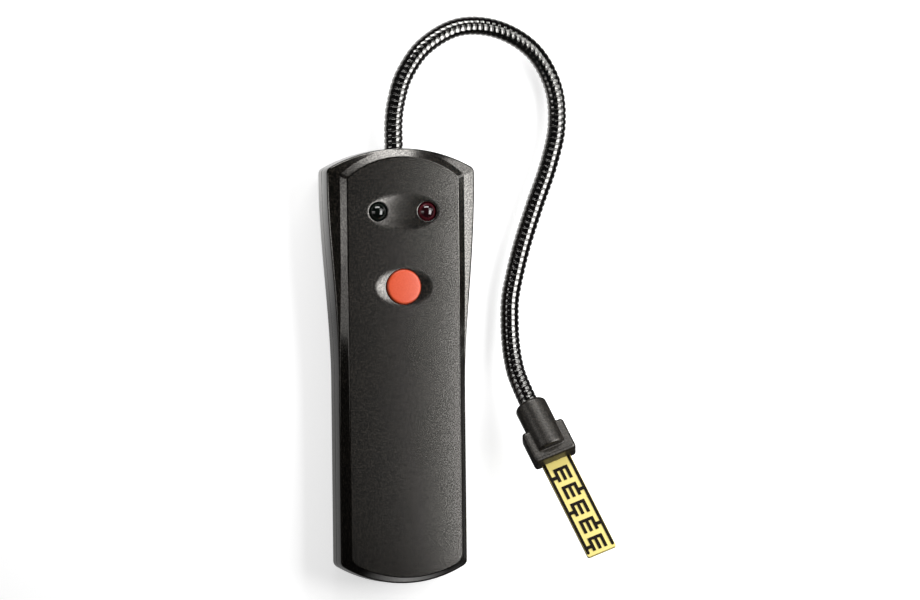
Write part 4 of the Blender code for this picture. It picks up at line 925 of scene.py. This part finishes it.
def makeFoamPad():
    low, high = (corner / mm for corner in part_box("battery_pad"))
    setup = padSetup
    side = high.z - low.z - setup["crown"]
    rounding = min(setup["round"], side * 0.45)
    loops = [padRing(low, high, rounding * 0.4, scale, low.z) for scale in (0.3, 0.7, 1.0)]
    for step in range(9):
        share = step / 8
        inset = rounding * (1 - math.sqrt(max(0.0, 1 - abs(2 * share - 1) ** 5)))
        loops.append(padRing(low, high, inset * 0.6, 1.0, low.z + 0.05 + (side - 0.05) * share))
    for scale in (0.94, 0.85, 0.7, 0.5, 0.3, 0.12):
        rise = setup["crown"] * (1 - scale ** 2)
        loops.append(padRing(low, high, rounding * 0.6, scale, low.z + side + rise))
    pad = makePiece("foam_pad", *skin(loops), "polyurethane foam", "housing", ["battery_pad"], "foam", 50)


makeButton()
makeFoamPad()
makeLamp("lamp_lens_green", -10.6, "green", "green_lamp")
makeLamp("lamp_lens_red", 10.6, "red", "red_lamp")
print("button, foam pad and lamps made")

# Gooseneck: a shaped wire wound over a round spring, along the bend of the CAD part

neck = {
    "height": 10.0, "radius": 4.0, "pitch": 2.5, "width": 1.8, "depth": 0.75, "crown": 0.04,
    "turnSteps": 32, "wireRadius": 0.4, "wireCentre": 3.36, "tubeRadius": 2.75,
    "route": [(0.0, 0.0, 0.0), (0.0, 10.5, 0.0), (1.2, 19.5, 0.0), (4.9, 30.9, 0.0), (13.8, 42.8, 0.0),
              (28.5, 50.7, 0.0), (45.5, 49.8, 0.0), (60.6, 41.0, 0.0), (69.4, 26.0, 0.0), (70.9, 9.3, 0.0),
              (67.0, -7.5, 0.0), (60.8, -24.2, 0.0), (55.1, -40.9, 0.0), (51.3, -55.3, 0.0),
              (49.7, -64.0, 0.0), (49.3, -72.3, 0.5), (49.2, -80.5, 1.8), (49.6, -88.7, 4.0),
              (50.7, -96.2, 7.1)],
    "plugEnd": 66.3, "ferruleStart": 74.5, "ferruleEnd": 86.0,
}
probe = {
    "start": (54.2, -107.5, 12.5), "heading": -71.6, "pitch": 30.9, "roll": 5.7,
    "radius": 6.8, "length": 22.8, "endRound": 1.5, "neckDepth": 12.0,
    "blockStart": 12.1, "blockLength": 14.8, "blockWidth": 18.7, "blockTop": 3.4, "blockBottom": -5.4,
    "blockRound": 1.4, "voxel": 0.22,
    "stripLength": 45.9, "stripInsert": 3.5, "stripWidth": 12.8, "stripThickness": 1.6, "stripTop": -3.0,
    "track": 0.2, "trackGap": 0.1, "rail": 1.2, "railFromEdge": 0.25, "railEnd": 1.1,
    "combs": 5, "combStart": 3.4, "combPitch": 8.66, "combLength": 6.25, "combWidth": 6.4,
    "tine": 1.3, "stubStart": 3.2, "stubWidth": 1.5,
}


class Route:
    # smooth path with a frame that doesn't twist, read by distance along it
    def __init__(self, points):
        self.points = points
        self.lengths = [0.0]
        for before, after in zip(points, points[1:]):
            self.lengths.append(self.lengths[-1] + (after - before).length)
        self.total = self.lengths[-1]
        last = len(points) - 1
        self.tangents = [(points[min(i + 1, last)] - points[max(i - 1, 0)]).normalized()
                         for i in range(len(points))]
        side = self.tangents[0].orthogonal().normalized()
        self.sides = [side]
        for tangent in self.tangents[1:]:
            side = (side - tangent * side.dot(tangent)).normalized()
            self.sides.append(side)

    def frameAt(self, distance):
        i = min(max(bisect_right(self.lengths, distance) - 1, 0), len(self.points) - 2)
        share = (distance - self.lengths[i]) / (self.lengths[i + 1] - self.lengths[i])
        centre = self.points[i].lerp(self.points[i + 1], share)
        tangent = self.tangents[i].lerp(self.tangents[i + 1], share).normalized()
        side = self.sides[i].lerp(self.sides[i + 1], share)
        side = (side - tangent * side.dot(tangent)).normalized()
        return centre, side, tangent.cross(side)

    def around(self, distance, radius, turn):
        centre, side, other = self.frameAt(distance)
        return centre + radius * (math.cos(turn) * side + math.sin(turn) * other)


def smoothPath(corners, perSpan):
    padded = [2 * corners[0] - corners[1]] + corners + [2 * corners[-1] - corners[-2]]
    points = []
    for a, b, c, d in zip(padded, padded[1:], padded[2:], padded[3:]):
        for step in range(perSpan):
            t = step / perSpan
            points.append(0.5 * (2 * b + (c - a) * t + (2 * a - 5 * b + 4 * c - d) * t ** 2
                                 + (3 * b - a - 3 * c + d) * t ** 3))
    points.append(corners[-1])
    return points


def probeMatrix():
    heading = math.radians(probe["heading"])
    pitch = math.radians(probe["pitch"])
    along = Vector((math.cos(pitch) * math.cos(heading), math.cos(pitch) * math.sin(heading),
                    math.sin(pitch)))
    across = along.cross(Vector((0, 0, 1))).normalized() * -1
    roll = Matrix.Rotation(math.radians(probe["roll"]), 3, along)
    normal = roll @ along.cross(across)
    turn = Matrix((along, roll @ across, normal)).transposed().to_4x4()
    return Matrix.Translation(Vector((0, topEnd, neck["height"])) + Vector(probe["start"])) @ turn


probeFrame = probeMatrix()


def neckRoute():
    exitPoint = Vector((0, topEnd, neck["height"]))
    plugEnd = Vector((0, neck["plugEnd"], neck["height"]))
    corners = [plugEnd, plugEnd.lerp(exitPoint, 0.5)]
    corners += [exitPoint + Vector(offset) for offset in neck["route"]]
    corners += [probeFrame @ Vector((x, 0, 0)) for x in (0, probe["neckDepth"], probe["length"])]
    return Route(smoothPath(corners, 24))


def distanceTo(route, target):
    nearest = min(range(len(route.points)), key=lambda i: (route.points[i] - target).length)
    return route.lengths[nearest]


def bandSection():
    # rounded crown that falls away to a narrow groove on each side, as (offset along, radius)
    half = neck["width"] / 2
    crown = []
    steps = 10
    for step in range(-steps, steps + 1):
        share = step / steps
        fall = neck["crown"] * share ** 2
        crown.append((half * 0.9 * share, neck["radius"] - fall))
    low = neck["radius"] - neck["depth"]
    shoulder = neck["radius"] - neck["crown"]
    before = [(-half, low), (-half, shoulder - 0.2), (-half * 0.97, shoulder - 0.09)]
    after = [(-offset, radius) for offset, radius in reversed(before)]
    return before + crown + after


def makeNeckBand(route, start, end):
    section = bandSection()
    perTurn = neck["turnSteps"]
    steps = round((end - start - neck["width"]) / neck["pitch"] * perTurn)
    loops = []
    for step in range(steps + 1):
        turn = 2 * math.pi * step / perTurn
        middle = start + neck["width"] / 2 + neck["pitch"] * step / perTurn
        loops.append([route.around(middle + offset, radius, turn) for offset, radius in section])
    return makePiece("neck_band", *skin(loops), "wire", "housing", ["neck_outer_wire"], "neck_wire", 50)


def makeNeckSpring(route, start, end):
    perTurn = 20
    wireSides = 8
    steps = round((end - start - 1) / neck["pitch"] * perTurn)
    loops = []
    for step in range(steps + 1):
        turn = 2 * math.pi * step / perTurn
        middle = start + 0.5 + neck["pitch"] * (step / perTurn)
        loop = []
        for i in range(wireSides):
            angle = 2 * math.pi * i / wireSides
            loop.append(route.around(middle + neck["wireRadius"] * math.sin(angle),
                                     neck["wireCentre"] + neck["wireRadius"] * math.cos(angle), turn))
        loops.append(loop)
    points, faces = skin(loops)
    rings = []
    count = round((end - start) / 2.0)
    for step in range(count + 1):
        distance = start + (end - start) * step / count
        rings.append([route.around(distance, neck["tubeRadius"], 2 * math.pi * i / 20) for i in range(20)])
    addTo(points, faces, *skin(rings))
    return makePiece("neck_spring", points, faces, "wire", "housing", ["neck_inner_spring"], "steel", 50)


route = neckRoute()
bandStart = distanceTo(route, Vector((0, neck["ferruleEnd"], neck["height"]))) + 0.3
probeStart = distanceTo(route, probeFrame @ Vector((0, 0, 0)))
neckEnd = probeStart + probe["neckDepth"] - 0.3
bandEnd = neckEnd - 7.3
makeNeckBand(route, bandStart, bandEnd)
# the round wire lies in the groove, half a pitch from the shaped one
makeNeckSpring(route, bandStart + neck["width"] / 2 + neck["pitch"] / 2 - 0.5, bandEnd)
print("gooseneck made")

# Probe moulding, with edges melted together as one shot of rubber


def alongProbe():
    return Matrix.Rotation(math.radians(90), 4, "Y")


def makeProbeMoulding():
    setup = probe
    radius = setup["radius"]
    rim = setup["endRound"]
    profile = [(0, 0), (radius - rim, 0)]
    for step in range(1, 8):
        turn = math.pi / 2 * step / 8
        profile.append((radius - rim + rim * math.sin(turn), rim - rim * math.cos(turn)))
    profile += [(radius, rim), (radius, setup["length"] - 0.8), (radius - 0.25, setup["length"] - 0.25),
                (radius - 0.8, setup["length"]), (0, setup["length"])]
    body = makePiece("probe_body", *lathe(profile, 96, alongProbe()), "rubber", None, None, None, None)
    half = setup["blockWidth"] / 2
    blockEnd = setup["blockStart"] + setup["blockLength"]
    block = makeTool(*box((setup["blockStart"], -half, setup["blockBottom"]), (blockEnd, half, setup["blockTop"])))
    rounding = block.modifiers.new("round", "BEVEL")
    rounding.width = setup["blockRound"] * mm
    rounding.segments = 6
    applyModifiers(block)
    combine(body, block, "UNION")
    remesh = body.modifiers.new("melt", "REMESH")
    remesh.mode = "VOXEL"
    remesh.voxel_size = setup["voxel"] * mm
    soften = body.modifiers.new("soften", "SMOOTH")
    soften.factor = 0.5
    soften.iterations = 5
    applyModifiers(body)
    bore = lathe([(0, -1), (4.35, -1), (4.35, 12.3), (0, 12.3)], 48, alongProbe())
    combine(body, makeTool(*bore), "DIFFERENCE")
    width = setup["stripWidth"] / 2 + 0.3
    low = setup["stripTop"] - setup["stripThickness"] - 0.3
    slot = box((blockEnd - setup["stripInsert"] - 0.3, -width, low), (blockEnd + 1, width, -2.4))
    combine(body, makeTool(*slot), "DIFFERENCE")
    body.data.transform(Matrix.Translation(probeFrame.translation * mm) @ probeFrame.to_3x3().to_4x4())
    if not body.data.materials:
        body.data.materials.append(finishes["rubber"])
    body.data.shade_smooth()
    body.data.set_sharp_from_angle(angle=math.radians(45))
    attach(body, "housing")
    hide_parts("probe_moulding")


def onProbe(points):
    return [probeFrame @ Vector(point) for point in points]


def plate(outline, low, high):
    return skin([[(x, y, z) for x, y in outline] for z in (low, high)])


def makeStrip():
    setup = probe
    start = setup["blockStart"] + setup["blockLength"] - setup["stripInsert"]
    end = setup["blockStart"] + setup["blockLength"] + setup["stripLength"]
    half = setup["stripWidth"] / 2
    corner = 0.5
    outline = [(start, -half), (end - corner, -half), (end, -half + corner), (end, half - corner),
               (end - corner, half), (start, half)]
    points, faces = plate(outline, setup["stripTop"] - setup["stripThickness"], setup["stripTop"])
    strip = makePiece("strip_laminate", onProbe(points), faces, "laminate", "housing", ["sensor_strip"],
                      "laminate", sharp=None)
    roundSharpEdges(strip, 0.1, 25)
    smoothEdges(strip, 30)


def combOutline(start, side):
    setup = probe
    half = setup["combWidth"] / 2
    tinePitch = (setup["combWidth"] - setup["tine"]) / 2
    end = start + setup["combLength"]
    spine = start + setup["tine"]
    stub = start + setup["stubStart"]
    points = [(start, -half)]
    for tine in range(3):
        low = -half + tine * tinePitch
        if tine > 0:
            points.append((spine, low))
        points += [(end, low), (end, low + setup["tine"])]
        if tine < 2:
            points.append((spine, low + setup["tine"]))
    rail = setup["stripWidth"] / 2 - setup["railFromEdge"] - setup["rail"]
    points += [(stub + setup["stubWidth"], half), (stub + setup["stubWidth"], rail + 0.1), (stub, rail + 0.1),
               (stub, half), (start, half)]
    return [(x, side * y) for x, y in points]


def makeTrack(name, side, combs, node):
    setup = probe
    first = setup["blockStart"] + setup["blockLength"]
    low = setup["stripTop"] + setup["trackGap"]
    high = low + setup["track"]
    edge = setup["stripWidth"] / 2 - setup["railFromEdge"]
    end = first + setup["stripLength"] - setup["railEnd"]
    inside = edge - setup["rail"]
    rail = [(first - 3.2, inside), (end - 0.36, inside), (end, inside + 0.36), (end, edge - 0.36),
            (end - 0.36, edge), (first - 3.2, edge)]
    track = makePiece(name, *plate([(x, side * y) for x, y in rail], low, high), "carbon", "housing", [node],
                      "conductor", sharp=None)
    for comb in combs:
        outline = combOutline(first + setup["combStart"] + comb * setup["combPitch"], side)
        combine(track, makeTool(*plate(outline, low, high)), "UNION")
    track.data.transform(Matrix.Translation(probeFrame.translation * mm) @ probeFrame.to_3x3().to_4x4())
    roundSharpEdges(track, 0.05, 40)
    smoothEdges(track, 30)


across = probeFrame.to_3x3() @ Vector((0, 1, 0))
finishes["laminate"] = makeLaminate(laminate, tuple(across))
makeProbeMoulding()
makeStrip()
makeTrack("track_left", -1, range(0, 5, 2), "left_conductor")
makeTrack("track_right", 1, range(1, 5, 2), "right_conductor")
print("probe and strip made")

# CAD nodes that keep their own mesh, each with its finish

keptNodes = {
    "tact_switch_body": "epoxy moulded black", "tact_switch_plunger": "epoxy moulded black",
    "circuit_board": "solder mask green", "amplifier_chip": "epoxy moulded black",
    "resistor_1": "lacquer beige", "resistor_2": "lacquer beige", "resistor_3": "lacquer beige",
    "resistor_4": "lacquer beige", "capacitor": "epoxy moulded black", "battery": "can printed grey",
    "battery_snap": "epoxy moulded black", "red_battery_lead": "PVC red", "black_battery_lead": "PVC black",
    "board_screw_1": "steel zinc plated",
    "board_screw_2": "steel zinc plated", "board_screw_3": "steel zinc plated",
    "board_screw_4": "steel zinc plated", "neck_ferrule": "brass turned", "sensor_plug": "epoxy moulded black",
    "sensor_cable": "PVC black", "probe_ferrule": "brass turned",
}
for node, finish in keptNodes.items():
    nodes[node].data.materials.clear()
    nodes[node].data.materials.append(finishes[finish])

# Floor, world and lamps: a white table in a dark studio, a big soft box at the right and two strips

studio = {
    # shade and the foot glow set a painted shadow beside the housing and a painted pool of light below its foot,
    # as the shine sees the table
    "floorColour": 0.82, "floorGlow": 0.66, "shade": 0.3, "paintedFootGlow": 0.6, "ambient": 0.018,
    "fadeStart": 12.0, "fadeEnd": 32.0,       # mm away, where the shine sees the table go dark
    "right": {"across": 38.5, "along": -0.3, "distance": 250.0, "width": 150.0, "length": 220.0,
              "power": 0.62},
    "rightHigh": {"across": 38.5, "along": 33.0, "distance": 310.0, "width": 150.0, "length": 120.0,
                  "power": 0.14},
    "loop": {"across": 69.0, "along": 27.5, "distance": 249.0, "width": 60.0, "length": 80.0,
             "power": 0.03},
    "left": {"across": -62.0, "along": 15.2, "distance": 198.0, "width": 140.0, "length": 40.0,
             "power": 0.035},
    "leftLow": {"across": -62.0, "along": 0.5, "distance": 198.0, "width": 140.0, "length": 62.0,
                "power": 0.019},
    "top": {"across": -8.0, "along": 64.0, "distance": 420.0, "width": 330.0, "length": 120.0,
            "power": 0.82},
}


def makeFloor():
    size = 3.0
    mesh = bpy.data.meshes.new("floor")
    low = -0.00005
    mesh.from_pydata([(-size, -size, low), (size, -size, low), (size, size, low), (-size, size, low)], [],
                     [(0, 1, 2, 3)])
    floor = bpy.data.objects.new("floor", mesh)
    bpy.context.scene.collection.objects.link(floor)
    material = bpy.data.materials.new("white table")
    material.use_nodes = True
    tree = material.node_tree
    tree.nodes.clear()
    paths = addNode(tree, "ShaderNodeLightPath")
    seen = addNode(tree, "ShaderNodeMath", {"operation": "ADD"},
                   {0: paths.outputs["Is Camera Ray"], 1: paths.outputs["Is Glossy Ray"]})
    seen = addNode(tree, "ShaderNodeMath", {"operation": "ADD", "use_clamp": True},
                   {0: seen.outputs[0], 1: paths.outputs["Is Transmission Ray"]})
    far = mapRange(tree, paths.outputs["Ray Length"], studio["fadeStart"] * mm, studio["fadeEnd"] * mm)
    fade = addNode(tree, "ShaderNodeMath", {"operation": "MULTIPLY"},
                   {0: far, 1: paths.outputs["Is Glossy Ray"]}).outputs[0]
    # painted shadow: the shine sees the table darker beside the housing, where its shade falls, than beyond its
    # top end
    spot = addNode(tree, "ShaderNodeSeparateXYZ", {},
                   {0: addNode(tree, "ShaderNodeNewGeometry").outputs["Position"]})
    clear = addNode(tree, "ShaderNodeMath", {"operation": "MAXIMUM"},
                    {0: mapRange(tree, spot.outputs[1], 20 * mm, 75 * mm),
                     1: mapRange(tree, spot.outputs[0], 25 * mm, 45 * mm)}).outputs[0]
    shade = addNode(tree, "ShaderNodeMath", {"operation": "MULTIPLY"},
                    {0: mapRange(tree, clear, 0.0, 1.0, studio["shade"], 1.0),
                     1: mapRange(tree, fade, 0.0, 1.0, 1.0, 0.03)}).outputs[0]
    # and a painted pool of light below the foot end keeps the table bright further out, where the bottom bevel
    # looks at it
    off = addNode(tree, "ShaderNodeMath", {"operation": "SUBTRACT", 1: 8 * mm}, {0: spot.outputs[0]})
    off = addNode(tree, "ShaderNodeMath", {"operation": "ABSOLUTE"}, {0: off.outputs[0]}).outputs[0]
    paintedPoolBelowFoot = addNode(tree, "ShaderNodeMath", {"operation": "MULTIPLY"},
                    {0: mapRange(tree, spot.outputs[1], -98 * mm, -106 * mm),
                     1: mapRange(tree, off, 0.0, 28 * mm, studio["paintedFootGlow"], 0.0)}).outputs[0]
    shade = addNode(tree, "ShaderNodeMath", {"operation": "MAXIMUM"}, {0: shade, 1: paintedPoolBelowFoot}).outputs[0]
    paintedShadeInShine = addNode(tree, "ShaderNodeMapRange", {"From Min": 0.0, "From Max": 1.0, "To Min": 1.0},
                   {"Value": paths.outputs["Is Glossy Ray"], "To Max": shade}).outputs[0]
    strength = mapRange(tree, paths.outputs["Is Glossy Ray"], 0.0, 1.0, studio["floorGlow"], 1.0)
    strength = addNode(tree, "ShaderNodeMath", {"operation": "MULTIPLY"}, {0: strength, 1: paintedShadeInShine}).outputs[0]
    glow = addNode(tree, "ShaderNodeMath", {"operation": "MULTIPLY"}, {0: seen.outputs[0], 1: strength})
    # the table's colour, darkened by the painted shade where the shine sees it
    level = mapRange(tree, paintedShadeInShine, 0.0, 1.0, 0.0, studio["floorColour"])
    plain = addNode(tree, "ShaderNodeBsdfDiffuse", {}, {"Color": level})
    shine = addNode(tree, "ShaderNodeEmission", {}, {"Strength": glow.outputs[0]})
    white = addNode(tree, "ShaderNodeAddShader", {}, {0: plain.outputs[0], 1: shine.outputs[0]})
    # seen from underneath the floor is clear, so that the back can be looked at
    side = addNode(tree, "ShaderNodeNewGeometry").outputs["Backfacing"]
    clear = addNode(tree, "ShaderNodeBsdfTransparent")
    mix = addNode(tree, "ShaderNodeMixShader", {}, {0: side, 1: white.outputs[0], 2: clear.outputs[0]})
    addNode(tree, "ShaderNodeOutputMaterial", {}, {"Surface": mix.outputs[0]})
    mesh.materials.append(material)


def makeWorld():
    world = bpy.data.worlds.new("studio")
    bpy.context.scene.world = world
    world.use_nodes = True
    tree = world.node_tree
    tree.nodes.clear()
    camera = addNode(tree, "ShaderNodeLightPath").outputs["Is Camera Ray"]
    strength = mapRange(tree, camera, 0.0, 1.0, studio["ambient"], 1.0)
    background = addNode(tree, "ShaderNodeBackground", {"Color": (1, 1, 1, 1)}, {"Strength": strength})
    addNode(tree, "ShaderNodeOutputWorld", {}, {"Surface": background.outputs[0]})


def makeLampBox(name, setup):
    data = bpy.data.lights.new(name, "AREA")
    data.shape = "RECTANGLE"
    data.size = setup["width"] * mm
    data.size_y = setup["length"] * mm
    data.energy = setup["power"]
    across = math.radians(setup["across"])
    along = math.radians(setup["along"])
    towards = Vector((math.sin(across) * math.cos(along), math.sin(along), math.cos(across) * math.cos(along)))
    towards.normalize()
    lengthwise = (Vector((0, 1, 0)) - towards * towards.y).normalized()
    turn = Matrix((lengthwise.cross(towards), lengthwise, towards)).transposed().to_4x4()
    lamp = bpy.data.objects.new(name, data)
    bpy.context.scene.collection.objects.link(lamp)
    lamp.matrix_world = Matrix.Translation((Vector((0, 10, 20)) + towards * setup["distance"]) * mm) @ turn
    lamp.visible_camera = False


makeFloor()
makeWorld()
makeLampBox("soft box right", studio["right"])
makeLampBox("soft box right high", studio["rightHigh"])
makeLampBox("card beside the loop", studio["loop"])
makeLampBox("strip left", studio["left"])
makeLampBox("strip left low", studio["leftLow"])
makeLampBox("box top", studio["top"])
bpy.context.scene.view_settings.view_transform = "Standard"
print("studio made")
